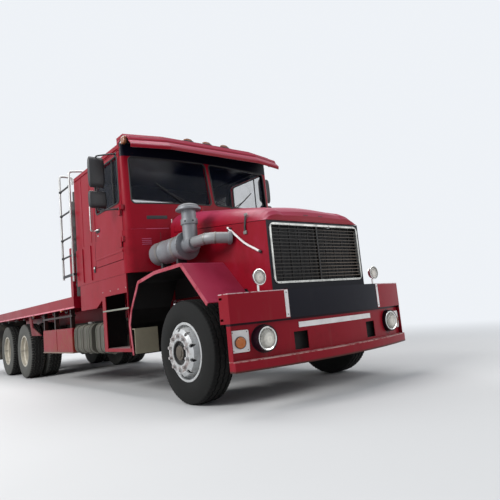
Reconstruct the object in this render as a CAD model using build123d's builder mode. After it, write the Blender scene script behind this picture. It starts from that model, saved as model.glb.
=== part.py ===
from build123d import *
import os
from math import asin, cos, radians, sin, sqrt

# Bonneted flatbed truck with three axles and twin rear tyres.
# Millimetres, +Z up, ground at Z 0. The truck faces -Y and its right side is -X.
# A station is a distance behind the foremost point of the bumper.

# Overall sizes
LENGTH = 10520
BODY_HALF = 1250

# Wheels
TYRE_OD = 1050
TYRE_WIDTH = 280
BEAD_R = 286
RIM_HALF = 105
RIM_FLANGE_R = 299
RIM_SHEET = 10
DISC_OFFSET = 160
FRONT_DISC_OFFSET = 190
DISC_SHEET = 12
HUB_R = 138
HUB_OUT = 95
HUB_SUNK = 4
RECESS_R = 118
RECESS_DEPTH = 40
HUB_CAP_R = 75
HUB_CAP_SUNK = 8
STUD_CIRCLE_R = 167
STUD_COUNT = 10
STUD_R = 17
STUD_LENGTH = 34
HAND_HOLE_CIRCLE_R = 222
HAND_HOLE_R = 19
DRUM_R = 205
DRUM_WIDTH = 150
HUB_Z = TYRE_OD / 2
FRONT_AXLE = 1140
DRIVE_AXLE = 7130
TANDEM_PITCH = 1400
FRONT_TYRE_X = 1030
REAR_OUTER_X = 1075
SPINDLE_R = 45
SPINDLE_REACH = 60
RUNNING_FIT = 0.1

# Chassis frame
RAIL_OUT = 430
RAIL_FLANGE = 80
RAIL_HEIGHT = 260
RAIL_WEB = 8
FRAME_TOP = 960
FRAME_FRONT = 330
FRAME_REAR_GAP = 80
CROSS_THICK = 60
CROSS_DEPTH = 150
CROSS_STATIONS = (380, 3000, 4300, 5700, 6700, 7800, 8900, 10300)

# Front axle and steering
KINGPIN_X = 880
KINGPIN_R = 22
BOSS_R = 50
BOSS_HALF = 70
FORK_ARM = 45
FORK_GAP = 2
BEAM_DROP = 110
BEAM_DEPTH = 90
BEAM_WIDTH = 90
SPRING_WIDTH = 76

# Bumper
BUMPER_BOW = 180
BUMPER_SHEET = 8
LIP_OUT = 20
FACE_RECESS = 45
BUMPER_BOTTOM = 360
LIP_TOP = 455
BAND_BOTTOM = 775
BUMPER_TOP = 1040
BAND_END = 345
LIP_END = 262
BUMPER_SHELF = 280
END_LAP = 3
BRACKET_DEPTH = 60
LAMP_X = 922
LAMP_Z = 620
LAMP_R = 92
BOWL_R = 116
BOWL_FRONT = 108
BOWL_DEPTH = 110
TOW_HOLE_X = 520
TOW_HOLE = 165
TOW_HOLE_RISE = 25
PAD_X = 1150
PAD_SIZE = (170, 190)
PAD_THICK = 8
PAD_CORNER = 14
INDICATOR_R = 50
ROUND_LAMP_X = 860
ROUND_LAMP_Z = 1174
ROUND_LAMP_R = 76

# Nose and hood
NOSE_FRONT = 238
NOSE_HALF = 690
NOSE_SHEET = 18
NOSE_BOTTOM = 1100
FOLD_FRONT = 1722
FOLD_RISE = 0.118
LID_GAP = 6
LID_SHEET = 18
LID_REAR = 1945
LID_HINGE_UP = 18
HINGE_R = 10
HINGE_PIN_R = 5
BARREL_GAP = 0.5

# Grille
GRILLE_HALF = 660
GRILLE_BOTTOM = 1106
GRILLE_TOP = 1702
GRILLE_BAR = 20
GRILLE_CORNER = 60
GRILLE_OUT = 10
GRILLE_DEPTH = 40
SLAT_COUNT = 15
SLAT_THICK = 7
SLAT_DEPTH = 24
GRILLE_POST = 10
UPRIGHTS_A_SIDE = 4
UPRIGHT_HALF = 3

# Fenders
FENDER_HALF = 1220
FENDER_SHEET = 10
FENDER_LIP = 38
FENDER_BEND = 60

# Cab
CAB_HALF = 1220
CAB_NOSE = 1960
CAB_CORNER = 2215
CAB_REAR = 3920
CAB_WALL = 50
CORNER_R = 130
CORNER_TOP_R = 50
SILL_Z = 1470
BELT_Z = 2000
BELT_STEP = 15
ROOF_JOIN = 3060
ROOF_EDGE = 3110
ROOF_CROWN = 45
NOSE_RAKE = 180
CORNER_RAKE = 20
PILLAR = 2290
SCREEN_BOTTOM = 2330
SCREEN_TOP = 2940
SCREEN_HALF = 1110
SCREEN_BAR = 28
SCREEN_CORNER = 55
GLASS_DEPTH = 20
GLASS_THICK = 6

# Doors
DOOR_GAP = 8
DOOR_FRONT = PILLAR + DOOR_GAP
DOOR_REAR = 3170
DOOR_BOTTOM = 1650
DOOR_TOP = 3025
WINDOW_FRONT = 2350
WINDOW_REAR = 3110
WINDOW_BOTTOM = 2370
WINDOW_TOP = 2975
WINDOW_CORNER = 45
DOOR_HINGE_OUT = 12
DOOR_HINGE_X = CAB_HALF + DOOR_HINGE_OUT
DOOR_HINGE = DOOR_FRONT - DOOR_GAP / 4
DOOR_HINGES_Z = (1800, 2200)
DOOR_KNUCKLE = 60

# Deck
DECK_FRONT = 4040
DECK_BOTTOM = 1170
DECK_TOP = 1340
DECK_FLOOR = 40
SIDE_RAIL = 60
BEARER_WIDTH = 60
BEARER_PITCH = 620
TAIL_LAMP_OUT = 20
HEADBOARD = 4200
HEADBOARD_TOP = 2100
HEADBOARD_THICK = 40


def y(station):
    return station - LENGTH / 2


def span(side, near, far):
    """Limits along X of something between two distances from the middle plane."""
    return (min(side * near, side * far), max(side * near, side * far))


def block(x, stations, z, mode=Mode.ADD):
    """A straight-sided block between two limits along each axis."""
    with BuildSketch(Plane.XY.offset(z[0])) as base:
        with Locations(((x[0] + x[1]) / 2, (y(stations[0]) + y(stations[1])) / 2)):
            Rectangle(x[1] - x[0], stations[1] - stations[0])
    extrude(base.sketch, amount=z[1] - z[0], mode=mode)


def side_plate(x, outline, mode=Mode.ADD):
    """A plate across X whose side view is given by (station, height) corners."""
    with BuildSketch(Plane.YZ.offset(x[0])) as base:
        with BuildLine():
            Polyline([(y(station), z) for station, z in outline], close=True)
        make_face()
    extrude(base.sketch, amount=x[1] - x[0], mode=mode)


def front_view(station):
    """A plane across the truck, seen from the front: local x is X, local y is Z."""
    return Plane(origin=(0, y(station), 0), x_dir=(1, 0, 0), z_dir=(0, -1, 0))


def bar_x(x, station, z, radius, mode=Mode.ADD):
    """A round bar along X."""
    with BuildSketch(Plane.YZ.offset(x[0])) as base:
        with Locations((y(station), z)):
            Circle(radius)
    extrude(base.sketch, amount=x[1] - x[0], mode=mode)


def bar_y(x, stations, z, radius, mode=Mode.ADD):
    """A round bar along Y."""
    with BuildSketch(front_view(stations[0])) as base:
        with Locations((x, z)):
            Circle(radius)
    extrude(base.sketch, amount=-(stations[1] - stations[0]), mode=mode)


def bar_z(x, station, z, radius, mode=Mode.ADD):
    """A round bar along Z."""
    with BuildSketch(Plane.XY.offset(z[0])) as base:
        with Locations((x, y(station))):
            Circle(radius)
    extrude(base.sketch, amount=z[1] - z[0], mode=mode)


def tube(points, radius, bend, mode=Mode.ADD):
    """A round tube along straight runs joined by arcs; points are (x, station, z)."""
    route = [(px, y(station), pz) for px, station, pz in points]
    with BuildLine() as path:
        FilletPolyline(route, radius=bend)
    with BuildSketch(Plane(origin=path.line @ 0, z_dir=path.line % 0)) as section:
        Circle(radius)
    sweep(section.sketch, path=path.line, mode=mode)


def bow_radius(sagitta, half):
    return (half * half + sagitta * sagitta) / (2 * sagitta)


def bow_drop(x, sagitta, half):
    """How far an arc of this sagitta and half width falls back at a distance x."""
    radius = bow_radius(sagitta, half)
    return radius - sqrt(radius * radius - x * x)


def bowed_bar(half, front, depth, z, mode=Mode.ADD):
    """A bar that follows the bumper's bow, of constant depth along Y."""
    back = bow_drop(half, BUMPER_BOW, BODY_HALF)
    with BuildSketch(Plane.XY.offset(z[0])) as base:
        with BuildLine():
            ThreePointArc((-half, y(front + back)), (0, y(front)), (half, y(front + back)))
            Line((half, y(front + back)), (half, y(front + depth + back)))
            ThreePointArc(
                (half, y(front + depth + back)),
                (0, y(front + depth)),
                (-half, y(front + depth + back)),
            )
            Line((-half, y(front + depth + back)), (-half, y(front + back)))
        make_face()
    extrude(base.sketch, amount=z[1] - z[0], mode=mode)


def bumper_plane(x, z, front):
    """A plane on the bowed face at x, facing out of it, with local y upwards."""
    radius = bow_radius(BUMPER_BOW, BODY_HALF)
    station = front + bow_drop(abs(x), BUMPER_BOW, BODY_HALF)
    lean, ahead = x / radius, sqrt(1 - (x / radius) ** 2)
    return Plane(origin=(x, y(station), z), x_dir=(ahead, lean, 0), z_dir=(lean, -ahead, 0))


def spindle_end(disc_x, sunk):
    """Where a wheel's spindle ends: inside the disc for a sunk hub, else beyond it."""
    return disc_x - SPINDLE_REACH if sunk else disc_x + SPINDLE_REACH


def finish(name, part):
    part.label = name
    export_step(part, f"parts/{name}.step")


os.makedirs("parts", exist_ok=True)

# Chassis frame: two channel rails and the cross members between them
FRAME_BOTTOM = FRAME_TOP - RAIL_HEIGHT
FRAME_REAR = LENGTH - FRAME_REAR_GAP
RAIL_IN = RAIL_OUT - RAIL_FLANGE

with BuildPart() as frame:
    for side in (-1, 1):
        web = span(side, RAIL_OUT - RAIL_WEB, RAIL_OUT)
        flange = span(side, RAIL_IN, RAIL_OUT)
        block(web, (FRAME_FRONT, FRAME_REAR), (FRAME_BOTTOM, FRAME_TOP))
        block(flange, (FRAME_FRONT, FRAME_REAR), (FRAME_BOTTOM, FRAME_BOTTOM + RAIL_WEB))
        block(flange, (FRAME_FRONT, FRAME_REAR), (FRAME_TOP - RAIL_WEB, FRAME_TOP))
    cross_half = RAIL_OUT - RAIL_WEB / 2
    cross_top = FRAME_TOP - RAIL_WEB / 2
    for station in CROSS_STATIONS:
        cross = (station, station + CROSS_THICK)
        block((-cross_half, cross_half), cross, (cross_top - CROSS_DEPTH, cross_top))
finish("frame", frame.part)

# Engine and gearbox as one plain mass, with the radiator core ahead of it
ENGINE_HALF = 300
ENGINE = (520, 1850)
ENGINE_Z = (620, 1560)
GEARBOX_HALF = 210
GEARBOX_END = 2750
GEARBOX_Z = (560, 1060)
SHAFT_Z = 690
RADIATOR_HALF = 560
RADIATOR = (400, 490)
RADIATOR_Z = (1090, 1670)

with BuildPart() as engine:
    block((-ENGINE_HALF, ENGINE_HALF), ENGINE, ENGINE_Z)
    block((-GEARBOX_HALF, GEARBOX_HALF), (ENGINE[1], GEARBOX_END), GEARBOX_Z)
    for side in (-1, 1):
        foot = span(side, ENGINE_HALF, RAIL_OUT - RAIL_WEB)
        for station in (ENGINE[0] + 60, ENGINE[1] - 180):
            foot_z = (FRAME_BOTTOM + RAIL_WEB, FRAME_BOTTOM + RAIL_WEB + 60)
            block(foot, (station, station + 120), foot_z)
    block((-RADIATOR_HALF, RADIATOR_HALF), RADIATOR, RADIATOR_Z)
    for side in (-1, 1):
        block(span(side, RAIL_IN, RAIL_OUT), RADIATOR, (FRAME_TOP, RADIATOR_Z[0]))
finish("engine", engine.part)

# Front axle: a dropped beam with a boss at each end, and the leaf springs on it
BOSS_Z = HUB_Z
BEAM_Z = BOSS_Z - BEAM_DROP
BEAM_TOP = BEAM_Z + BEAM_DEPTH / 2
SPRING_X = RAIL_OUT - RAIL_FLANGE / 2
LEAF_THICK = 16
LEAF_RISE = 130
EYE_R = 26
# Columns: half length of the leaf, distance of its top below the main leaf's top
FRONT_LEAVES = ((640, 0), (520, 16), (400, 32), (280, 48))


def spring_pack(centre_x, station, top, leaves, rise, width, thick):
    """Leaves of one curvature, stacked under the longest one, each an arc of constant thickness."""
    radius = bow_radius(abs(rise), leaves[0][0])
    way = 1 if rise > 0 else -1
    centre_z = top + way * radius

    def on_leaf(below, angle):
        reach = radius + way * below
        return (y(station) + reach * sin(angle), centre_z - way * reach * cos(angle))

    for half, below in leaves:
        end = asin(half / radius)
        low = below + thick
        with BuildSketch(Plane.YZ.offset(centre_x - width / 2)) as base:
            with BuildLine():
                ThreePointArc(on_leaf(below, -end), on_leaf(below, 0), on_leaf(below, end))
                Line(on_leaf(below, end), on_leaf(low, end))
                ThreePointArc(on_leaf(low, end), on_leaf(low, 0), on_leaf(low, -end))
                Line(on_leaf(low, -end), on_leaf(below, -end))
            make_face()
        extrude(base.sketch, amount=width)


PACK_DEPTH = LEAF_THICK * len(FRONT_LEAVES)
FRONT_SPRING_TOP = BEAM_TOP + PACK_DEPTH
EYE_Z = FRONT_SPRING_TOP + LEAF_RISE

with BuildPart() as front_axle:
    with BuildSketch(front_view(FRONT_AXLE - BEAM_WIDTH / 2)) as beam:
        with BuildLine():
            low, high = BEAM_Z - BEAM_DEPTH / 2, BEAM_TOP
            bend_in, bend_out = KINGPIN_X - 250, KINGPIN_X - 70
            up = BEAM_DROP
            Polyline(
                (-KINGPIN_X, low + up), (-bend_out, low + up), (-bend_in, low),
                (bend_in, low), (bend_out, low + up), (KINGPIN_X, low + up),
                (KINGPIN_X, high + up), (bend_out, high + up), (bend_in, high),
                (-bend_in, high), (-bend_out, high + up), (-KINGPIN_X, high + up),
                close=True,
            )
        make_face()
    extrude(beam.sketch, amount=-BEAM_WIDTH)
    for side in (-1, 1):
        boss_z = (BOSS_Z - BOSS_HALF, BOSS_Z + BOSS_HALF)
        bar_z(side * KINGPIN_X, FRONT_AXLE, boss_z, BOSS_R)
        bar_z(side * KINGPIN_X, FRONT_AXLE, boss_z, KINGPIN_R + RUNNING_FIT, Mode.SUBTRACT)
        spring_pack(
            side * SPRING_X, FRONT_AXLE, FRONT_SPRING_TOP, FRONT_LEAVES,
            LEAF_RISE, SPRING_WIDTH, LEAF_THICK,
        )
        reach = FRONT_LEAVES[0][0]
        for station in (FRONT_AXLE - reach, FRONT_AXLE + reach):
            hanger = span(side, SPRING_X - SPRING_WIDTH / 2, SPRING_X + SPRING_WIDTH / 2)
            bar_x(hanger, station, EYE_Z - LEAF_THICK / 2, EYE_R)
            block(hanger, (station - 22, station + 22), (EYE_Z, FRAME_BOTTOM))
        for station in (FRONT_AXLE - 50, FRONT_AXLE + 30):
            clamp = span(side, SPRING_X - SPRING_WIDTH / 2 - 8, SPRING_X + SPRING_WIDTH / 2 + 8)
            block(clamp, (station, station + 20), (BEAM_Z, FRONT_SPRING_TOP + 12))
finish("front_axle", front_axle.part)

# Rear bogie: two driving axles, springs rocking on a trunnion, and the shafts
AXLE_TUBE_R = 68
DIFF_R = 205
DIFF_HALF = 150
NOSE_CONE = 330
PROP_R = 52
BOGIE = DRIVE_AXLE + TANDEM_PITCH / 2
BOGIE_SPRING_X = RAIL_OUT + 50
BOGIE_SPRING_RISE = -70
# Columns: half length of the leaf, distance of its top below the main leaf's top
BOGIE_LEAVES = ((780, 0), (640, 18), (500, 36), (360, 54), (220, 72))
BOGIE_LEAF = 18
REAR_AXLES = (DRIVE_AXLE, DRIVE_AXLE + TANDEM_PITCH)
REAR_INNER_X = REAR_OUTER_X - 2 * DISC_OFFSET
REAR_DISC_X = (REAR_OUTER_X + REAR_INNER_X) / 2
BEARING_X = REAR_INNER_X - DRUM_WIDTH
BOGIE_SPRING_TOP = HUB_Z + AXLE_TUBE_R + BOGIE_LEAF - BOGIE_SPRING_RISE

with BuildPart() as rear_axles:
    for station in REAR_AXLES:
        bar_x((-BEARING_X, BEARING_X), station, HUB_Z, AXLE_TUBE_R)
        for side in (-1, 1):
            spindle = span(side, BEARING_X - 10, spindle_end(REAR_DISC_X, False))
            bar_x(spindle, station, HUB_Z, SPINDLE_R)
        with BuildSketch(Plane.XY.offset(HUB_Z)) as half_diff:
            with BuildLine():
                Polyline(
                    (-DIFF_HALF, y(station)), (-DIFF_HALF * 0.75, y(station - DIFF_R * 0.8)),
                    (-DIFF_HALF * 0.4, y(station - DIFF_R)), (DIFF_HALF * 0.4, y(station - DIFF_R)),
                    (DIFF_HALF * 0.75, y(station - DIFF_R * 0.8)), (DIFF_HALF, y(station)),
                    close=True,
                )
            make_face()
        revolve(half_diff.sketch, axis=Axis((0, y(station), HUB_Z), (1, 0, 0)))
        bar_y(0, (station - NOSE_CONE, station), HUB_Z, 90)
    bar_y(0, (GEARBOX_END, GEARBOX_END + 20), SHAFT_Z, PROP_R + 18)
    prop_line = ((0, GEARBOX_END + 10, SHAFT_Z), (0, DRIVE_AXLE - NOSE_CONE + 30, HUB_Z))
    with BuildLine() as shaft_path:
        Line([(px, y(station), pz) for px, station, pz in prop_line])
    with BuildSketch(Plane(origin=shaft_path.line @ 0, z_dir=shaft_path.line % 0)) as shaft_end:
        Circle(PROP_R)
    sweep(shaft_end.sketch, path=shaft_path.line)
    bar_y(0, (REAR_AXLES[0], REAR_AXLES[1] - NOSE_CONE + 30), HUB_Z, PROP_R - 10)
    for side in (-1, 1):
        spring_pack(
            side * BOGIE_SPRING_X, BOGIE, BOGIE_SPRING_TOP, BOGIE_LEAVES,
            BOGIE_SPRING_RISE, SPRING_WIDTH, BOGIE_LEAF,
        )
        edge = SPRING_WIDTH / 2
        seat = span(side, BOGIE_SPRING_X - edge, BOGIE_SPRING_X + edge)
        for station in REAR_AXLES:
            block(seat, (station - 60, station + 60), (HUB_Z, HUB_Z + AXLE_TUBE_R + 8))
        trunnion = span(side, RAIL_OUT, BOGIE_SPRING_X + edge)
        saddle_z = (HUB_Z - 60, BOGIE_SPRING_TOP - BOGIE_LEAF * len(BOGIE_LEAVES))
        block(trunnion, (BOGIE - 90, BOGIE + 90), (saddle_z[0], saddle_z[1] + 4))
        strut = span(side, RAIL_OUT, BOGIE_SPRING_X - edge)
        block(strut, (BOGIE - 160, BOGIE + 160), (FRAME_BOTTOM, FRAME_TOP - 60))
        block(strut, (BOGIE - 90, BOGIE + 90), (saddle_z[0], FRAME_BOTTOM))
    bar_x((-RAIL_OUT - 5, RAIL_OUT + 5), BOGIE, HUB_Z - 20, 34)
finish("rear_axles", rear_axles.part)

# Bumper: a bowed band over a recessed face and a lip, with returned ends
BAND_FRONT = LIP_OUT
FACE_FRONT = LIP_OUT + FACE_RECESS
END_DROP = bow_drop(BODY_HALF, BUMPER_BOW, BODY_HALF)

with BuildPart() as bumper:
    sheet = BUMPER_SHEET
    bowed_bar(BODY_HALF, BAND_FRONT, BUMPER_SHELF, (BUMPER_TOP - sheet, BUMPER_TOP))
    behind = (BAND_END, BAND_END + BUMPER_SHELF)
    block((-BODY_HALF, BODY_HALF), behind, (BAND_BOTTOM, BUMPER_TOP + sheet), Mode.SUBTRACT)
    bowed_bar(BODY_HALF, BAND_FRONT, sheet, (BAND_BOTTOM, BUMPER_TOP))
    bowed_bar(BODY_HALF, BAND_FRONT, FACE_RECESS + sheet, (BAND_BOTTOM, BAND_BOTTOM + sheet))
    bowed_bar(BODY_HALF, FACE_FRONT, sheet, (LIP_TOP - sheet, BAND_BOTTOM + sheet))
    bowed_bar(BODY_HALF, 0, FACE_FRONT + sheet, (LIP_TOP - sheet, LIP_TOP))
    bowed_bar(BODY_HALF, 0, sheet, (BUMPER_BOTTOM, LIP_TOP))
    floor_depth = LIP_END - END_DROP - sheet
    bowed_bar(BODY_HALF, 0, floor_depth, (BUMPER_BOTTOM, BUMPER_BOTTOM + sheet))
    lip_start = END_DROP + END_LAP
    band_start = END_DROP + BAND_FRONT + END_LAP
    for side in (-1, 1):
        side_plate(
            span(side, BODY_HALF - sheet, BODY_HALF),
            (
                (lip_start, BUMPER_BOTTOM), (LIP_END, BUMPER_BOTTOM), (LIP_END, BAND_BOTTOM),
                (BAND_END, BAND_BOTTOM), (BAND_END, BUMPER_TOP), (band_start, BUMPER_TOP),
                (band_start, LIP_TOP - END_LAP), (lip_start, LIP_TOP - END_LAP),
            ),
        )
        hole_x = span(side, TOW_HOLE_X - TOW_HOLE / 2, TOW_HOLE_X + TOW_HOLE / 2)
        hole_z = (LIP_TOP + TOW_HOLE_RISE, LIP_TOP + TOW_HOLE_RISE + TOW_HOLE)
        block(hole_x, (FACE_FRONT, FACE_FRONT + BOWL_DEPTH), hole_z, Mode.SUBTRACT)
        bowl = (BOWL_FRONT, BOWL_FRONT + BOWL_DEPTH)
        bar_y(side * LAMP_X, bowl, LAMP_Z, BOWL_R)
        inside = (BOWL_FRONT - FACE_RECESS, BOWL_FRONT + BOWL_DEPTH - sheet)
        bar_y(side * LAMP_X, inside, LAMP_Z, BOWL_R - sheet, Mode.SUBTRACT)
        with BuildSketch(bumper_plane(side * PAD_X, LAMP_Z, FACE_FRONT)) as pad:
            RectangleRounded(PAD_SIZE[0], PAD_SIZE[1], PAD_CORNER)
        extrude(pad.sketch, amount=PAD_THICK)
        extrude(pad.sketch, amount=-sheet / 2)
        bracket = span(side, RAIL_IN, RAIL_OUT)
        bow = bow_drop(RAIL_OUT, BUMPER_BOW, BODY_HALF)
        inner = FACE_FRONT + bow + sheet / 2
        block(bracket, (inner, FRAME_FRONT), (FRAME_BOTTOM, FRAME_BOTTOM + BRACKET_DEPTH))
        inner = BAND_FRONT + bow + sheet / 2
        block(bracket, (inner, FRAME_FRONT), (FRAME_TOP - BRACKET_DEPTH, FRAME_TOP))
finish("bumper", bumper.part)

# Grille: a rounded frame, slats, a middle bar and thin uprights behind them
with BuildPart() as grille:
    height = GRILLE_TOP - GRILLE_BOTTOM
    middle = (GRILLE_TOP + GRILLE_BOTTOM) / 2
    with BuildSketch(front_view(NOSE_FRONT - GRILLE_OUT)) as rim_outline:
        with Locations((0, middle)):
            RectangleRounded(2 * GRILLE_HALF, height, GRILLE_CORNER)
            RectangleRounded(
                2 * (GRILLE_HALF - GRILLE_BAR), height - 2 * GRILLE_BAR,
                GRILLE_CORNER - GRILLE_BAR, mode=Mode.SUBTRACT,
            )
    extrude(rim_outline.sketch, amount=-GRILLE_DEPTH)
    inner_half = GRILLE_HALF - GRILLE_BAR / 2
    pitch = (height - 2 * GRILLE_BAR) / (SLAT_COUNT + 1)
    for number in range(1, SLAT_COUNT + 1):
        slat = GRILLE_BOTTOM + GRILLE_BAR + number * pitch
        block(
            (-inner_half, inner_half), (NOSE_FRONT, NOSE_FRONT + SLAT_DEPTH),
            (slat - SLAT_THICK / 2, slat + SLAT_THICK / 2),
        )
    upright = (GRILLE_BOTTOM + GRILLE_BAR / 2, GRILLE_TOP - GRILLE_BAR / 2)
    post = (NOSE_FRONT - GRILLE_OUT / 2, NOSE_FRONT + SLAT_DEPTH)
    block((-GRILLE_POST, GRILLE_POST), post, upright)
    thin = (NOSE_FRONT + SLAT_DEPTH / 3, NOSE_FRONT + SLAT_DEPTH * 5 / 6)
    for number in range(1, UPRIGHTS_A_SIDE + 1):
        for side in (-1, 1):
            place = side * number * inner_half / (UPRIGHTS_A_SIDE + 1)
            block((place - UPRIGHT_HALF, place + UPRIGHT_HALF), thin, upright)
finish("grille", grille.part)

# Fenders: a bent sheet over the wheel with a turned outer edge
# Corners of the side view: station, height
FENDER_LINE = (
    (560, 985), (985, 1418), (1550, 1405), (1970, 1340), (2190, 1030), (2262, 860), (2210, 490),
)


def fender_strip(x, depth, mode=Mode.ADD):
    """The fender's bent line, thickened inwards by a depth, across X."""
    with BuildSketch(Plane.YZ.offset(x[0])) as base:
        with BuildLine():
            FilletPolyline([(y(station), z) for station, z in FENDER_LINE], radius=FENDER_BEND)
            offset(amount=depth, side=Side.RIGHT)
        make_face()
    extrude(base.sketch, amount=x[1] - x[0], mode=mode)


with BuildPart() as fenders:
    for side in (-1, 1):
        fender_strip(span(side, NOSE_HALF, FENDER_HALF), FENDER_SHEET)
        fender_strip(span(side, FENDER_HALF - FENDER_SHEET, FENDER_HALF), FENDER_LIP)
finish("fenders", fenders.part)

# Cab forms: plan outlines, joined into a hollow shell that the panels are cut from
UPPER_HALF = CAB_HALF - BELT_STEP


def cab_plan(height, half, inset, share):
    """Plan of the cab: a bowed front, straight sides and rounded front corners.

    The share runs from 0 at the belt to 1 at the roof's edge.
    """
    edge = half - inset
    step = CAB_HALF - half
    nose_y = y(CAB_NOSE + step + inset + share * NOSE_RAKE)
    corner_y = y(CAB_CORNER + step + inset + share * CORNER_RAKE)
    rear_y = y(CAB_REAR - inset)
    radius = CORNER_R + share * (CORNER_TOP_R - CORNER_R)
    with BuildSketch(Plane.XY.offset(height)) as plan:
        with BuildLine():
            ThreePointArc((-edge, corner_y), (0, nose_y), (edge, corner_y))
            Polyline((edge, corner_y), (edge, rear_y), (-edge, rear_y), (-edge, corner_y))
        make_face()
        front_corners = plan.vertices().filter_by(lambda v: abs(v.Y - corner_y) < 1)
        fillet(front_corners, radius=max(radius - inset, 10))
    return plan.sketch.faces()[0]


def cab_form(inset, bottom, top, mode=Mode.ADD):
    """The cab's form: upright below the belt, raked above it."""
    extrude(cab_plan(bottom, CAB_HALF, inset, 0), amount=BELT_Z - bottom, dir=(0, 0, 1), mode=mode)
    upper = [cab_plan(BELT_Z, UPPER_HALF, inset, 0), cab_plan(top, UPPER_HALF, inset, 1)]
    loft(upper, ruled=True, mode=mode)


with BuildPart() as cab_shell:
    cab_form(0, SILL_Z, ROOF_EDGE)
    cab_form(CAB_WALL, SILL_Z, ROOF_EDGE, Mode.SUBTRACT)

with BuildPart() as glass_shell:
    cab_form(GLASS_DEPTH, SILL_Z, ROOF_EDGE)
    cab_form(GLASS_DEPTH + GLASS_THICK, SILL_Z, ROOF_EDGE, Mode.SUBTRACT)

ALL_X = (-BODY_HALF - 200, BODY_HALF + 200)
REAR_WINDOW_HALF = 520
REAR_WINDOW_Z = (2450, 2860)


def screen_opening(side, mode):
    """One pane's opening, cut straight back through the raked front."""
    width = SCREEN_HALF - SCREEN_BAR
    with BuildSketch(front_view(CAB_NOSE - 100)) as pane:
        with Locations((side * (SCREEN_BAR + width / 2), (SCREEN_BOTTOM + SCREEN_TOP) / 2)):
            RectangleRounded(width, SCREEN_TOP - SCREEN_BOTTOM, SCREEN_CORNER)
    extrude(pane.sketch, amount=-(CAB_CORNER + NOSE_RAKE - CAB_NOSE + 150), mode=mode)


def rear_opening(mode):
    with BuildSketch(front_view(CAB_REAR - CAB_WALL - 20)) as pane:
        with Locations((0, sum(REAR_WINDOW_Z) / 2)):
            RectangleRounded(
                2 * REAR_WINDOW_HALF, REAR_WINDOW_Z[1] - REAR_WINDOW_Z[0], SCREEN_CORNER
            )
    extrude(pane.sketch, amount=-(CAB_WALL + 40), mode=mode)


with BuildPart() as cab_floor:
    extrude(cab_plan(SILL_Z, CAB_HALF, CAB_WALL, 0), amount=CAB_WALL, dir=(0, 0, 1))
finish("cab_floor", cab_floor.part)

with BuildPart() as cab_front:
    add(cab_shell.part)
    block(ALL_X, (CAB_NOSE - 50, PILLAR), (SILL_Z, ROOF_JOIN), Mode.INTERSECT)
    screen_opening(-1, Mode.SUBTRACT)
    screen_opening(1, Mode.SUBTRACT)
    for side in (-1, 1):
        for z in DOOR_HINGES_Z:
            barrel = (z + DOOR_KNUCKLE + BARREL_GAP, z + 2 * DOOR_KNUCKLE + BARREL_GAP)
            bar_z(side * DOOR_HINGE_X, DOOR_HINGE, barrel, HINGE_R)
            plate = span(side, UPPER_HALF - 2, DOOR_HINGE_X + 3)
            block(plate, (DOOR_HINGE - 50, DOOR_HINGE), barrel)
            bar_z(side * DOOR_HINGE_X, DOOR_HINGE, barrel, HINGE_PIN_R + RUNNING_FIT, Mode.SUBTRACT)
finish("cab_front", cab_front.part)

with BuildPart() as cab_sides:
    add(cab_shell.part)
    block(ALL_X, (PILLAR, CAB_REAR - CAB_WALL), (SILL_Z, ROOF_JOIN), Mode.INTERSECT)
    opening_z = (DOOR_BOTTOM - DOOR_GAP, DOOR_TOP + DOOR_GAP)
    block(ALL_X, (PILLAR - 1, DOOR_REAR + DOOR_GAP), opening_z, Mode.SUBTRACT)
finish("cab_sides", cab_sides.part)

with BuildPart() as cab_rear:
    add(cab_shell.part)
    block(ALL_X, (CAB_REAR - CAB_WALL, CAB_REAR + 50), (SILL_Z, ROOF_JOIN), Mode.INTERSECT)
    rear_opening(Mode.SUBTRACT)
finish("cab_rear", cab_rear.part)

# Roof: a cap with a crowned top, over the walls
with BuildPart() as cab_roof:
    share = (ROOF_JOIN - BELT_Z) / (ROOF_EDGE - BELT_Z)
    roof_plan = cab_plan(ROOF_JOIN, UPPER_HALF, 0, share)
    extrude(roof_plan, amount=ROOF_EDGE + ROOF_CROWN - ROOF_JOIN, dir=(0, 0, 1))
    with BuildSketch(front_view(CAB_NOSE)) as crown:
        with BuildLine():
            Polyline(
                (UPPER_HALF, ROOF_EDGE), (UPPER_HALF, ROOF_JOIN - 10),
                (-UPPER_HALF, ROOF_JOIN - 10), (-UPPER_HALF, ROOF_EDGE),
            )
            ThreePointArc(
                (-UPPER_HALF, ROOF_EDGE), (0, ROOF_EDGE + ROOF_CROWN), (UPPER_HALF, ROOF_EDGE)
            )
        make_face()
    extrude(crown.sketch, amount=-(CAB_REAR - CAB_NOSE), mode=Mode.INTERSECT)
    hollow = cab_plan(ROOF_JOIN, UPPER_HALF, CAB_WALL, share)
    extrude(hollow, amount=(ROOF_EDGE - ROOF_JOIN) / 2, dir=(0, 0, 1), mode=Mode.SUBTRACT)
finish("cab_roof", cab_roof.part)

with BuildPart() as screen_panes:
    screen_opening(-1, Mode.ADD)
    screen_opening(1, Mode.ADD)
    rear_opening(Mode.ADD)

with BuildPart() as cab_glass:
    add(glass_shell.part)
    add(screen_panes.part, mode=Mode.INTERSECT)
finish("cab_glass", cab_glass.part)

# Nose: fixed side panels and the surround of the grille, with the cowl behind the lid
def fold_z(station):
    return FOLD_FRONT + FOLD_RISE * (station - NOSE_FRONT)


# Columns: station of the section, height of the crown above the fold
HOOD_SECTIONS = (
    (NOSE_FRONT, 24), (252, 70), (290, 118), (350, 152), (470, 184), (800, 222), (LID_REAR, 312),
)
SHOULDER_X = 440
SHOULDER_SHARE = 0.86


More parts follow.
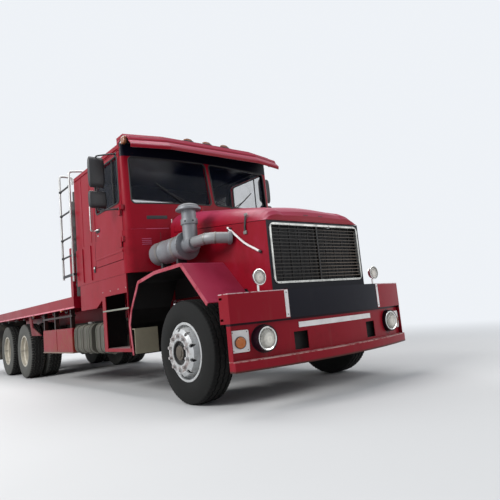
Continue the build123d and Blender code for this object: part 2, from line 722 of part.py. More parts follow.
def hood_face(station, crown, inset, below):
    """Section of the hood: a flat base, two shoulder arcs and a crown arc."""
    half = NOSE_HALF - inset
    base = fold_z(station) - below
    top = fold_z(station) + crown - inset
    rise = top - base
    knee = base + SHOULDER_SHARE * rise
    with BuildSketch(front_view(station)) as section:
        with BuildLine():
            Line((half, base), (-half, base))
            ThreePointArc((-half, base), (-half + 60, base + 0.55 * rise), (-SHOULDER_X, knee))
            ThreePointArc((-SHOULDER_X, knee), (0, top), (SHOULDER_X, knee))
            ThreePointArc((SHOULDER_X, knee), (half - 60, base + 0.55 * rise), (half, base))
        make_face()
    return section.sketch.faces()[0]


def hood_form(sections, inset, below, mode=Mode.ADD):
    """The hood's crowned form through its sections, drawn in by an inset."""
    faces = [hood_face(station, crown, inset, below) for station, crown in sections]
    loft(faces, ruled=True, mode=mode)


HINGE_Z = fold_z(LID_REAR) + HOOD_SECTIONS[-1][1] + LID_HINGE_UP
HINGE_STATION = LID_REAR + 4
LID_HINGE_X = 300
KNUCKLE = 36
NOSE_REAR = CAB_NOSE + bow_drop(NOSE_HALF, CAB_CORNER - CAB_NOSE, CAB_HALF) + 20
COWL_SECTIONS = (
    (LID_REAR + LID_GAP, HOOD_SECTIONS[-1][1]), (NOSE_REAR, HOOD_SECTIONS[-1][1]),
)

with BuildPart() as nose:
    for side in (-1, 1):
        side_plate(
            span(side, NOSE_HALF - NOSE_SHEET, NOSE_HALF),
            (
                (NOSE_FRONT, BUMPER_TOP), (NOSE_FRONT + 330, BUMPER_TOP),
                (NOSE_FRONT + 390, NOSE_BOTTOM), (NOSE_REAR, NOSE_BOTTOM),
                (NOSE_REAR, fold_z(NOSE_REAR)), (NOSE_FRONT, fold_z(NOSE_FRONT)),
            ),
        )
    front_sheet = (NOSE_FRONT, NOSE_FRONT + NOSE_SHEET)
    block((-NOSE_HALF, NOSE_HALF), front_sheet, (BUMPER_TOP, FOLD_FRONT))
    with BuildSketch(front_view(NOSE_FRONT - 20)) as mouth:
        with Locations((0, (GRILLE_BOTTOM + GRILLE_TOP) / 2)):
            RectangleRounded(2 * GRILLE_HALF, GRILLE_TOP - GRILLE_BOTTOM, GRILLE_CORNER)
    extrude(mouth.sketch, amount=-(NOSE_SHEET + 60), mode=Mode.SUBTRACT)
    for side in (-1, 1):
        stay = span(side, RAIL_IN, RAIL_OUT)
        block(stay, (NOSE_FRONT, RADIATOR[0] - 10), (BUMPER_TOP, BUMPER_TOP + 20))
        block(stay, (RADIATOR[0] - 30, RADIATOR[0] - 10), (FRAME_TOP, BUMPER_TOP + 20))
    hood_form(COWL_SECTIONS, 0, 0)
    crown = HOOD_SECTIONS[-1][1]
    inner_cowl = ((LID_REAR + LID_GAP - 10, crown), (NOSE_REAR + 10, crown))
    hood_form(inner_cowl, NOSE_SHEET, 200, Mode.SUBTRACT)
    cab_form(0, SILL_Z - 500, ROOF_EDGE, Mode.SUBTRACT)
    for side in (-1, 1):
        for way in (-1, 1):
            centre = LID_HINGE_X + way * (KNUCKLE + BARREL_GAP)
            barrel = span(side, centre - KNUCKLE / 2, centre + KNUCKLE / 2)
            bar_x(barrel, HINGE_STATION, HINGE_Z, HINGE_R)
            block(barrel, (HINGE_STATION, HINGE_STATION + 40), (HINGE_Z - 60, HINGE_Z + 4))
            bar_x(barrel, HINGE_STATION, HINGE_Z, HINGE_PIN_R + RUNNING_FIT, Mode.SUBTRACT)
finish("nose", nose.part)

# Hood lid, hinged at the cowl
with BuildPart() as hood_lid:
    hood_form(HOOD_SECTIONS, 0, -LID_GAP)
    inner = [(NOSE_FRONT + LID_SHEET, 60)] + [row for row in HOOD_SECTIONS[2:-1]]
    inner.append((LID_REAR + 1, HOOD_SECTIONS[-1][1]))
    hood_form(inner, LID_SHEET, 60, Mode.SUBTRACT)
    for side in (-1, 1):
        ear = span(side, LID_HINGE_X - KNUCKLE / 2, LID_HINGE_X + KNUCKLE / 2)
        bar_x(ear, HINGE_STATION, HINGE_Z, HINGE_R)
        pin_reach = KNUCKLE * 1.5 + BARREL_GAP
        pin = span(side, LID_HINGE_X - pin_reach, LID_HINGE_X + pin_reach)
        bar_x(pin, HINGE_STATION, HINGE_Z, HINGE_PIN_R)
        block(ear, (LID_REAR - 90, HINGE_STATION), (HINGE_Z - 4, HINGE_Z + 4))
        block(ear, (LID_REAR - 90, LID_REAR - 60), (HINGE_Z - 60, HINGE_Z))
finish("hood_lid", hood_lid.part)

# Doors, cut from the same shell, with their window panes

def window_opening(side, mode):
    x = span(side, CAB_HALF - 2 * CAB_WALL, CAB_HALF + 40)
    with BuildSketch(Plane.YZ.offset(x[0])) as pane:
        with Locations(((y(WINDOW_FRONT) + y(WINDOW_REAR)) / 2, (WINDOW_BOTTOM + WINDOW_TOP) / 2)):
            RectangleRounded(WINDOW_REAR - WINDOW_FRONT, WINDOW_TOP - WINDOW_BOTTOM, WINDOW_CORNER)
    extrude(pane.sketch, amount=x[1] - x[0], mode=mode)


def door(word, side):
    with BuildPart() as leaf_part:
        add(cab_shell.part)
        outer = span(side, CAB_HALF - 2 * CAB_WALL, CAB_HALF + 40)
        block(outer, (DOOR_FRONT, DOOR_REAR), (DOOR_BOTTOM, DOOR_TOP), Mode.INTERSECT)
        window_opening(side, Mode.SUBTRACT)
        for z in DOOR_HINGES_Z:
            bar_z(side * DOOR_HINGE_X, DOOR_HINGE, (z, z + DOOR_KNUCKLE), HINGE_R)
            pin = (z, z + 2 * DOOR_KNUCKLE + BARREL_GAP)
            bar_z(side * DOOR_HINGE_X, DOOR_HINGE, pin, HINGE_PIN_R)
            plate = span(side, UPPER_HALF - 2, DOOR_HINGE_X + 3)
            block(plate, (DOOR_HINGE, DOOR_HINGE + 60), (z, z + DOOR_KNUCKLE))
    finish(f"door_{word}", leaf_part.part)
    with BuildPart() as pane:
        add(glass_shell.part)
        window_opening(side, Mode.INTERSECT)
    finish(f"door_glass_{word}", pane.part)


for side, word in ((-1, "right"), (1, "left")):
    door(word, side)

# Mirrors on the doors: a bent tube with a tall and a short head
MIRROR_OUT = 1405
MIRROR_STATION = 2540
MIRROR_ARM_R = 11
MIRROR_ARM_BEND = 30
MIRROR_TOP_Z = 3005
MIRROR_LOW_Z = 2290
# Columns: lower edge, upper edge, width of the head
MIRROR_HEADS = ((2590, 2990, 215), (2325, 2545, 235))
MIRROR_DEPTH = 70
MIRROR_CORNER = 25
MIRROR_FOOT = 45
MIRROR_STEM = 90


def mirror(word, side):
    with BuildPart() as arm:
        foot = UPPER_HALF
        stem = DOOR_FRONT + MIRROR_STEM
        tube(
            (
                (side * foot, stem, MIRROR_TOP_Z),
                (side * (foot + MIRROR_FOOT), stem, MIRROR_TOP_Z),
                (side * MIRROR_OUT, MIRROR_STATION, MIRROR_TOP_Z),
                (side * MIRROR_OUT, MIRROR_STATION, MIRROR_LOW_Z),
                (side * (foot + MIRROR_FOOT), stem, MIRROR_LOW_Z),
                (side * foot, stem, MIRROR_LOW_Z),
            ),
            MIRROR_ARM_R, MIRROR_ARM_BEND,
        )
        for low, high, width in MIRROR_HEADS:
            with BuildSketch(Plane.XY.offset(low)) as head:
                with Locations((side * MIRROR_OUT, y(MIRROR_STATION))):
                    RectangleRounded(width, MIRROR_DEPTH, MIRROR_CORNER)
            extrude(head.sketch, amount=high - low)
    finish(f"mirror_{word}", arm.part)


for side, word in ((-1, "right"), (1, "left")):
    mirror(word, side)

# Sun visor over the windscreen: a ridged sheet, straight in the middle, swept at the ends
VISOR_HALF = 1200
VISOR_MIDDLE = 720
VISOR_SWEEP = 110
VISOR_SHEET = 12
VISOR_STAY = (2200, 2230)
VISOR_STAY_HALF = 20
# Corners of the visor's side view at its middle: station, height
VISOR_LINE = (
    (1830, 2955), (1822, 3000), (1880, 3060), (1900, 3110), (2010, 3150),
    (2040, 3195), (2230, 3195),
)
VISOR_TOP = VISOR_LINE[-1][1]
VISOR_CLEAR = 2
# Corners of the plate that closes each end of the visor down to the roof
VISOR_END = (
    (2150, VISOR_TOP - VISOR_SHEET / 2), (2335, VISOR_TOP - VISOR_SHEET / 2),
    (2335, ROOF_EDGE + VISOR_CLEAR), (2290, ROOF_EDGE + VISOR_CLEAR),
)


def visor_face(x, sweep_back):
    with BuildSketch(Plane.YZ.offset(x)) as section:
        with BuildLine():
            Polyline([(y(station + sweep_back), z) for station, z in VISOR_LINE])
            offset(amount=VISOR_SHEET, side=Side.RIGHT)
        make_face()
    return section.sketch.faces()[0]


with BuildPart() as visor:
    loft([visor_face(-VISOR_MIDDLE, 0), visor_face(VISOR_MIDDLE, 0)], ruled=True)
    for side in (-1, 1):
        ends = [visor_face(side * VISOR_MIDDLE, 0), visor_face(side * VISOR_HALF, VISOR_SWEEP)]
        loft(ends, ruled=True)
        side_plate(span(side, VISOR_HALF - VISOR_SHEET, VISOR_HALF), VISOR_END)
        near = VISOR_MIDDLE - VISOR_STAY_HALF
        roof_z = ROOF_EDGE + ROOF_CROWN - bow_drop(near, ROOF_CROWN, UPPER_HALF)
        stay = span(side, near, VISOR_MIDDLE + VISOR_STAY_HALF)
        block(stay, VISOR_STAY, (roof_z, VISOR_TOP - VISOR_SHEET / 2))
finish("visor", visor.part)

# Seats and dashboard, seen through the glass
SEAT_X = 600
SEAT_HALF = 260
BENCH_HALF = 430
SEAT_FRONT = 2750
SEAT_DEPTH = 520
SEAT_TOP = SILL_Z + CAB_WALL + 480
BACK_TOP = SEAT_TOP + 620
FLOOR_TOP = SILL_Z + CAB_WALL

with BuildPart() as seats:
    # Columns: middle of the seat along X, half width
    for centre, half in ((SEAT_X, SEAT_HALF), (-SEAT_X + 140, BENCH_HALF)):
        x = (centre - half, centre + half)
        block((x[0] + 40, x[1] - 40), (SEAT_FRONT + 60, SEAT_FRONT + SEAT_DEPTH - 20),
              (FLOOR_TOP, SEAT_TOP - 140))
        block(x, (SEAT_FRONT, SEAT_FRONT + SEAT_DEPTH), (SEAT_TOP - 140, SEAT_TOP))
        side_plate(
            x,
            (
                (SEAT_FRONT + SEAT_DEPTH - 110, SEAT_TOP - 20),
                (SEAT_FRONT + SEAT_DEPTH - 40, BACK_TOP),
                (SEAT_FRONT + SEAT_DEPTH + 60, BACK_TOP),
                (SEAT_FRONT + SEAT_DEPTH, SEAT_TOP - 20),
            ),
        )
finish("seats", seats.part)

DASH_HALF = 1100
DASH_REAR = 2480
DASH_Z = (1950, 2200)
WHEEL_RIM_R = 235
WHEEL_RIM_THICK = 16
WHEEL_CENTRE = (SEAT_X, 2560, 2230)
WHEEL_TILT = 25

with BuildPart() as dash:
    cab_form(CAB_WALL, SILL_Z, ROOF_EDGE)
    block((-DASH_HALF, DASH_HALF), (CAB_NOSE, DASH_REAR), DASH_Z, Mode.INTERSECT)
    wheel_plane = Plane(
        origin=(WHEEL_CENTRE[0], y(WHEEL_CENTRE[1]), WHEEL_CENTRE[2]),
        x_dir=(1, 0, 0),
        z_dir=(0, sin(radians(WHEEL_TILT)), cos(radians(WHEEL_TILT))),
    )
    with BuildSketch(Plane(origin=wheel_plane.origin, x_dir=(1, 0, 0),
                           z_dir=wheel_plane.y_dir)) as wheel_section:
        with Locations((WHEEL_RIM_R, 0)):
            Circle(WHEEL_RIM_THICK)
    revolve(wheel_section.sketch, axis=Axis(wheel_plane.origin, wheel_plane.z_dir))
    with BuildSketch(wheel_plane.offset(-8)) as spokes:
        Rectangle(2 * WHEEL_RIM_R, 40)
        Circle(60)
    extrude(spokes.sketch, amount=16)
    with BuildSketch(wheel_plane) as column:
        Circle(28)
    extrude(column.sketch, amount=-430)
finish("dash", dash.part)

# Steps and skirt panels below the doors
STEP = (2240, 3045)
# Columns: height of the tread's underside, thickness
STEP_TREADS = ((530, 40), (1040, 20))
STEP_IN = 900
STEP_INSET = 30
STEP_POST = 105
PANEL_OUT = 1215
PANEL_SHEET = 10
SKIRT_FRONT = STEP[0] + 40
SKIRT_REAR = CAB_REAR - 90
SKIRT_Z = 1240
SKIRT_LOW_Z = 1110
SKIRT_LINE = (
    (SKIRT_REAR, SILL_Z), (SKIRT_REAR, SKIRT_LOW_Z), (3250, SKIRT_LOW_Z), (2970, SKIRT_Z),
    (SKIRT_FRONT, SKIRT_Z), (SKIRT_FRONT, SILL_Z),
)
STEP_ARM = 40
STEP_ARM_Z = (FRAME_BOTTOM + 20, FRAME_BOTTOM + 80)

with BuildPart() as cab_steps:
    step_bottom = STEP_TREADS[0][0]
    for side in (-1, 1):
        panel = span(side, PANEL_OUT - PANEL_SHEET, PANEL_OUT)
        side_plate(panel, SKIRT_LINE)
        depth = span(side, STEP_IN, PANEL_OUT)
        for z, thick in STEP_TREADS:
            block(depth, STEP, (z, z + thick))
        for station in (STEP[0] + STEP_INSET, STEP[1] - PANEL_SHEET):
            block(depth, (station, station + PANEL_SHEET), (step_bottom, SILL_Z))
        block(panel, (STEP[1] - STEP_POST, STEP[1]), (step_bottom, SKIRT_Z + 2))
        for station in (STEP[0] + STEP_INSET, STEP[1] - STEP_ARM):
            block(span(side, RAIL_OUT, STEP_IN + 10), (station, station + STEP_ARM), STEP_ARM_Z)
finish("cab_steps", cab_steps.part)

# Fuel tanks with their straps, on brackets from the rail
TANK_X = (800, 1205)
TANK_Z = (505, 905)
TANK_R = 90
STRAP = 8
STRAP_WIDTH = 50
TANK_ARM_Z = (FRAME_BOTTOM + 10, FRAME_BOTTOM + 90)
# Columns: front and rear station of the tank, stations of its straps
TANKS = (((STEP[1] + 15, 3360), (3200,)), ((3520, 4200), (3600, 3840, 4080)))


def tank_ring(side, stations, grow):
    with BuildSketch(front_view(stations[0])) as section:
        with Locations((side * sum(TANK_X) / 2, sum(TANK_Z) / 2)):
            RectangleRounded(
                TANK_X[1] - TANK_X[0] + 2 * grow, TANK_Z[1] - TANK_Z[0] + 2 * grow, TANK_R + grow
            )
    extrude(section.sketch, amount=-(stations[1] - stations[0]))


with BuildPart() as fuel_tanks:
    for side in (-1, 1):
        for stations, straps in TANKS:
            tank_ring(side, stations, 0)
            for strap in straps:
                tank_ring(side, (strap, strap + STRAP_WIDTH), STRAP)
                arm = span(side, RAIL_OUT, TANK_X[0] + TANK_R / 2)
                block(arm, (strap, strap + STRAP_WIDTH), TANK_ARM_Z)
finish("fuel_tanks", fuel_tanks.part)

# Side lockers hung below the deck, each a closed box with two raised doors
LOCKER_X = (850, 1205)
LOCKER_Z = (520, 880)
LOCKER = (4280, 5780)
LOCKER_LIP = 20
LOCKER_LIP_OUT = 10
LOCKER_DOOR = 6
LOCKER_MARGIN = 14
LOCKER_BAR_Z = (1050, 1080)
LOCKER_HANGER = 50
LOCKER_HANGER_X = 60

with BuildPart() as lockers:
    for side in (-1, 1):
        block(span(side, *LOCKER_X), LOCKER, LOCKER_Z)
        door_z = (LOCKER_Z[0] + LOCKER_MARGIN, LOCKER_Z[1] - LOCKER_MARGIN)
        middle = sum(LOCKER) / 2
        for near, far in ((LOCKER[0], middle), (middle, LOCKER[1])):
            panel = span(side, LOCKER_X[1] - LOCKER_DOOR, LOCKER_X[1] + LOCKER_DOOR)
            block(panel, (near + LOCKER_MARGIN, far - LOCKER_MARGIN), door_z)
        lip_x = span(side, LOCKER_X[0], LOCKER_X[1] + LOCKER_LIP_OUT)
        block(lip_x, LOCKER, (LOCKER_Z[0] - LOCKER_LIP, LOCKER_Z[0]))
        hanger_x = span(side, LOCKER_X[1] - LOCKER_HANGER_X, LOCKER_X[1])
        block(hanger_x, LOCKER, LOCKER_BAR_Z)
        for station in (LOCKER[0] + 40, middle + 60, LOCKER[1] - 90):
            hanger = (station, station + LOCKER_HANGER)
            block(hanger_x, hanger, (LOCKER_Z[1] - 5, DECK_BOTTOM))
finish("lockers", lockers.part)

# Deck: side rails, sub-frame and bearers, with the floor between the rails
DECK_REAR = LENGTH - TAIL_LAMP_OUT
FLOOR_FRONT = 4420
FLOOR_HALF = BODY_HALF - SIDE_RAIL
FLOOR_BOTTOM = DECK_TOP - DECK_FLOOR
BEARER_Z = (DECK_BOTTOM + 10, FLOOR_BOTTOM)

with BuildPart() as deck_frame:
    for side in (-1, 1):
        rail = span(side, BODY_HALF - 8, BODY_HALF)
        flange = span(side, BODY_HALF - SIDE_RAIL, BODY_HALF)
        block(rail, (DECK_FRONT, DECK_REAR), (DECK_BOTTOM, DECK_TOP))
        block(flange, (DECK_FRONT, DECK_REAR), (DECK_BOTTOM, DECK_BOTTOM + 10))
        block(flange, (DECK_FRONT, DECK_REAR), (DECK_TOP - 10, DECK_TOP))
        block(span(side, RAIL_IN, RAIL_OUT), (DECK_FRONT, DECK_REAR), (FRAME_TOP, BEARER_Z[0] + 5))
    bearer_half = BODY_HALF - 4
    bearer_count = int((DECK_REAR - DECK_FRONT - BEARER_WIDTH) // BEARER_PITCH) + 1
    bearer_step = (DECK_REAR - DECK_FRONT - BEARER_WIDTH) / bearer_count
    for number in range(bearer_count + 1):
        station = DECK_FRONT + number * bearer_step
        block((-bearer_half, bearer_half), (station, station + BEARER_WIDTH), BEARER_Z)
    for end in ((DECK_FRONT, DECK_FRONT + BEARER_WIDTH), (DECK_REAR - BEARER_WIDTH, DECK_REAR)):
        block((-bearer_half, bearer_half), end, (DECK_BOTTOM, DECK_TOP))
    front_plate = (DECK_FRONT + BEARER_WIDTH - 1, FLOOR_FRONT)
    block((-FLOOR_HALF - 2, FLOOR_HALF + 2), front_plate, (FLOOR_BOTTOM - 1, DECK_TOP))
finish("deck_frame", deck_frame.part)

with BuildPart() as deck_floor:
    ends = (FLOOR_FRONT, DECK_REAR - BEARER_WIDTH)
    block((-FLOOR_HALF, FLOOR_HALF), ends, (FLOOR_BOTTOM, DECK_TOP))
finish("deck_floor", deck_floor.part)

# Headboard at the front of the deck
POST = 60
TOP_BAR = 50

with BuildPart() as headboard:
    panel = (HEADBOARD, HEADBOARD + HEADBOARD_THICK)
    block((-FLOOR_HALF, FLOOR_HALF), panel, (DECK_TOP, HEADBOARD_TOP))
    for number in range(-2, 3):
        centre = number * (FLOOR_HALF - POST / 2) / 2
        block((centre - POST / 2, centre + POST / 2), (panel[0], panel[1] + POST),
              (DECK_TOP, HEADBOARD_TOP))
    block((-FLOOR_HALF, FLOOR_HALF), (panel[0], panel[1] + POST),
          (HEADBOARD_TOP - TOP_BAR, HEADBOARD_TOP))
finish("headboard", headboard.part)

# Ladder behind the cab on the right side
LADDER_X = -1262
LADDER_R = 17
LADDER_BEND = 40
RUNG_R = 14
LADDER_RAILS = (3945, 4390)
LADDER_TOP = 3230
LADDER_STEP_UP = 50
LADDER_HOOK = 110
LADDER_FOOT = 1560
LADDER_FOOT_STEP = 60
LADDER_IN = -1060
LADDER_BACK = 90
RUNGS_Z = (1950, 2230, 2620, 3010)
LADDER_BAR = 12
LADDER_BAR_Z = (1640, 1680)
LUG_WIDTH = 26
LUG_LAP = 20

with BuildPart() as ladder:
    near, far = LADDER_RAILS
    landing = near - LADDER_BACK
    sag = bow_drop(-LADDER_IN - LADDER_R, ROOF_CROWN, UPPER_HALF)
    roof_top = ROOF_EDGE + ROOF_CROWN - sag + RUNNING_FIT
    tube(
        (
            (LADDER_X, near, LADDER_FOOT), (LADDER_X, near, LADDER_TOP),
            (LADDER_IN, landing, LADDER_TOP), (LADDER_IN, landing, roof_top),
        ),
        LADDER_R, LADDER_BEND,
    )
    far_top = LADDER_TOP + LADDER_STEP_UP
    tube(
        (
            (LADDER_X, far, LADDER_FOOT + LADDER_FOOT_STEP), (LADDER_X, far, far_top),
            (LADDER_IN, far, far_top), (LADDER_IN, far, far_top - LADDER_HOOK),
        ),
        LADDER_R, LADDER_BEND,
    )
    for z in RUNGS_Z:
        bar_y(LADDER_X, (near, far), z, RUNG_R)
    block((LADDER_X - LADDER_BAR, LADDER_X + LADDER_BAR), (CAB_REAR, far), LADDER_BAR_Z)
    lug = (LADDER_X - LADDER_BAR, LUG_LAP - CAB_HALF)
    block(lug, (CAB_REAR, CAB_REAR + LUG_WIDTH), LADDER_BAR_Z)
finish("ladder", ladder.part)

# Silencer standing behind the cab on the right side
SILENCER_X = -1130
SILENCER = 4070
SILENCER_R = 98
SILENCER_Z = (1950, 2800)
EXHAUST_R = 48
EXHAUST_RISE = 150
SILENCER_ARMS_Z = (1500, 2010)
SILENCER_ARM = 40

with BuildPart() as silencer:
    bar_z(SILENCER_X, SILENCER, SILENCER_Z, SILENCER_R)
    bar_z(SILENCER_X, SILENCER, (DECK_TOP, SILENCER_Z[1] + EXHAUST_RISE), EXHAUST_R)
    arm = (SILENCER_X - SILENCER_ARM / 2, SILENCER_X + SILENCER_ARM / 2)
    for z in SILENCER_ARMS_Z:
        block(arm, (SILENCER, HEADBOARD), (z, z + SILENCER_ARM))
finish("silencer", silencer.part)

# Air cleaner over the right fender: body, head, neck with cap, and pipe to the hood side
CLEANER_X = -900
CLEANER_Z = 1655
CLEANER_R = 140
CLEANER = (1345, 2040)
CLEANER_FLANGE_R = 160
HEAD = (1185, 1330)
HEAD_R = 90
NECK = 1262
NECK_R = 82
COLLAR_GROW = 12
COLLAR_Z = (1875, 1935)
CAP_R = 140
CAP_Z = (2030, 2115)
OUTLET_R = 60
OUTLET_END = 790
OUTLET_BEND = 100
CLEANER_FOOT = 40

with BuildPart() as air_cleaner:
    bar_y(CLEANER_X, CLEANER, CLEANER_Z, CLEANER_R)
    bar_y(CLEANER_X, (HEAD[1], CLEANER[0] + 20), CLEANER_Z, CLEANER_FLANGE_R)
    bar_y(CLEANER_X, HEAD, CLEANER_Z, HEAD_R)
    bar_z(CLEANER_X, NECK, (CLEANER_Z, CAP_Z[0] + 20), NECK_R)
    bar_z(CLEANER_X, NECK, COLLAR_Z, NECK_R + COLLAR_GROW)
    bar_z(CLEANER_X, NECK, CAP_Z, CAP_R)
    tube(
        (
            (CLEANER_X, HEAD[0] + 30, CLEANER_Z + 15),
            (CLEANER_X, OUTLET_END + 110, CLEANER_Z + 10),
            (-NOSE_HALF, OUTLET_END, CLEANER_Z - 5),
        ),
        OUTLET_R, OUTLET_BEND,
    )
    crest = FENDER_LINE[1][1]
    foot_x = (CLEANER_X - CLEANER_FOOT * 3 / 2, CLEANER_X + CLEANER_FOOT * 3 / 2)
    for station in (CLEANER[0] + 120, CLEANER[1] - 220):
        block(foot_x, (station, station + CLEANER_FOOT), (crest, CLEANER_Z))
    block((-NOSE_HALF, 0), (HEAD[0] - 700, CLEANER[1]), (crest, CAP_Z[1]), Mode.SUBTRACT)
finish("air_cleaner", air_cleaner.part)

# Clear lamps: headlamps in the bumper's bowls and round lamps beside the grille
LAMP_BACK = BOWL_FRONT + BOWL_DEPTH - BUMPER_SHEET
LAMP_SUNK = 8
ROUND_LAMP_HALF = 30
LAMP_STEM_R = 12

with BuildPart() as clear_lamps:
    for side in (-1, 1):
        bar_y(side * LAMP_X, (BOWL_FRONT + LAMP_SUNK, LAMP_BACK), LAMP_Z, LAMP_R)
        drum = (NOSE_FRONT - ROUND_LAMP_HALF, NOSE_FRONT + ROUND_LAMP_HALF)
        bar_y(side * ROUND_LAMP_X, drum, ROUND_LAMP_Z, ROUND_LAMP_R)
        bar_z(side * ROUND_LAMP_X, NOSE_FRONT, (BUMPER_TOP, ROUND_LAMP_Z), LAMP_STEM_R)
finish("clear_lamps", clear_lamps.part)

# Amber lamps: indicators, roof markers and side markers
ROOF_MARKERS_X = (-300, 0, 300)
ROOF_MARKER = (2044, 2100)
ROOF_MARKER_SIZE = (150, 53)
INDICATOR_DROP = 12
INDICATOR_DEPTH = 18
SIDE_MARKERS = (4700, 6300, 8200, 10100)
SIDE_MARKER_X = (BODY_HALF - 60, BODY_HALF - 20)
SIDE_MARKER_SIZE = (60, 25)

with BuildPart() as amber_lamps:
    for side in (-1, 1):
        pad_face = bumper_plane(side * PAD_X, LAMP_Z - INDICATOR_DROP, FACE_FRONT)
        with BuildSketch(pad_face.offset(PAD_THICK)) as indicator:
            Circle(INDICATOR_R)
        extrude(indicator.sketch, amount=INDICATOR_DEPTH)
        for station in SIDE_MARKERS:
            marker = (station, station + SIDE_MARKER_SIZE[0])
            marker_z = (DECK_BOTTOM - SIDE_MARKER_SIZE[1], DECK_BOTTOM)
            block(span(side, *SIDE_MARKER_X), marker, marker_z)
    half = ROOF_MARKER_SIZE[0] / 2
    for x in ROOF_MARKERS_X:
        block((x - half, x + half), ROOF_MARKER, (VISOR_TOP, VISOR_TOP + ROOF_MARKER_SIZE[1]))
finish("amber_lamps", amber_lamps.part)

# Tail lamps on the rear face of the deck
TAIL_LAMP_X = (900, 1180)
TAIL_LAMP_Z = (DECK_BOTTOM + 25, DECK_TOP - 35)

with BuildPart() as tail_lamps:
    for side in (-1, 1):
        block(span(side, *TAIL_LAMP_X), (DECK_REAR, LENGTH), TAIL_LAMP_Z)
finish("tail_lamps", tail_lamps.part)

# Mudguards: flaps behind the wheels and the brackets ahead of the bogie
FLAP = 10
REAR_FLAP = REAR_AXLES[1] + TYRE_OD / 2 + 90
REAR_FLAP_X = (640, BODY_HALF - 20)
REAR_FLAP_BOTTOM = 330
FRONT_FLAP = 2150
FRONT_FLAP_X = (905, 1205)
FRONT_FLAP_Z = (505, 800)
GUARD_X = (BODY_HALF - 70, BODY_HALF - 50)
GUARD_LINE = (
    (6720, DECK_BOTTOM), (6540, 810), (5950, 800), (6480, 960), (6560, DECK_BOTTOM),
)


def fender_wall(z):
    """Station of the fender's inner face behind the wheel, on its last straight run."""
    (top_station, top), (low_station, low) = FENDER_LINE[-2:]
    lean = (top_station - low_station) / (top - low)
    return low_station + lean * (z - low) - FENDER_SHEET * sqrt(1 + lean * lean)


with BuildPart() as mudguards:
    bottom, top = FRONT_FLAP_Z
    for side in (-1, 1):
        side_plate(span(side, *GUARD_X), GUARD_LINE)
        block(span(side, *REAR_FLAP_X), (REAR_FLAP, REAR_FLAP + FLAP), (REAR_FLAP_BOTTOM, DECK_BOTTOM))
        side_plate(
            span(side, *FRONT_FLAP_X),
            (
                (FRONT_FLAP, bottom), (FRONT_FLAP + FLAP, bottom), (FRONT_FLAP + FLAP, top - FLAP),
                (fender_wall(top - FLAP), top - FLAP), (fender_wall(top), top), (FRONT_FLAP, top),
            ),
        )
finish("mudguards", mudguards.part)


# Wheels: tyres, and rims with their discs, hub and drum as one piece
def wheel_plane_at(x, station, side):
    """Local x runs out of the truck along the axle, local y is the radius."""
    return Plane(origin=(x, y(station), HUB_Z), x_dir=(side, 0, 0), z_dir=(0, -side, 0))


def tyre_shape(x, station, side):
    outer = TYRE_OD / 2
    wall = TYRE_WIDTH / 2
    with BuildSketch(wheel_plane_at(x, station, side)) as section:
        with BuildLine():
            Polyline(
                (-RIM_HALF, BEAD_R), (RIM_HALF, BEAD_R), (RIM_HALF, RIM_FLANGE_R + 1),
                (wall, BEAD_R + 65), (wall, outer - 110),
                (wall - 20, outer - 14), (wall - 32, outer), (32 - wall, outer),
                (20 - wall, outer - 14), (-wall, outer - 110), (-wall, BEAD_R + 65),
                (-RIM_HALF, RIM_FLANGE_R + 1),
                close=True,
            )
        make_face()
    revolve(section.sketch, axis=Axis((x, y(station), HUB_Z), (1, 0, 0)))


def rim_shape(x, station, side, dish, reach):
    """A rim with its disc, whose face lies a reach away; dish +1 puts it on the outer side."""
    well = BEAD_R - 26
    lip = RIM_HALF + 12
    face = dish * reach
    with BuildSketch(wheel_plane_at(x, station, side)) as section:
        with BuildLine():
            Polyline(
                (-lip, RIM_FLANGE_R), (-RIM_HALF, RIM_FLANGE_R), (-RIM_HALF, BEAD_R),
                (-70, BEAD_R), (-50, well), (50, well), (70, BEAD_R), (RIM_HALF, BEAD_R),
                (RIM_HALF, RIM_FLANGE_R), (lip, RIM_FLANGE_R), (lip, BEAD_R - RIM_SHEET),
                (64, BEAD_R - RIM_SHEET), (44, well - RIM_SHEET), (-44, well - RIM_SHEET),
                (-64, BEAD_R - RIM_SHEET), (-lip, BEAD_R - RIM_SHEET), close=True,
            )
        make_face()
        with BuildLine():
            Polyline(
                (dish * 40, well - 4), (dish * (40 - DISC_SHEET), well - 4),
                (face - dish * (28 + DISC_SHEET), well - 28), (face - dish * DISC_SHEET, 200),
                (face - dish * DISC_SHEET, HUB_R - 10), (face, HUB_R - 10), (face, 202),
                (face - dish * 24, well - 24), close=True,
            )
        make_face()
    revolve(section.sketch, axis=Axis((x, y(station), HUB_Z), (1, 0, 0)))


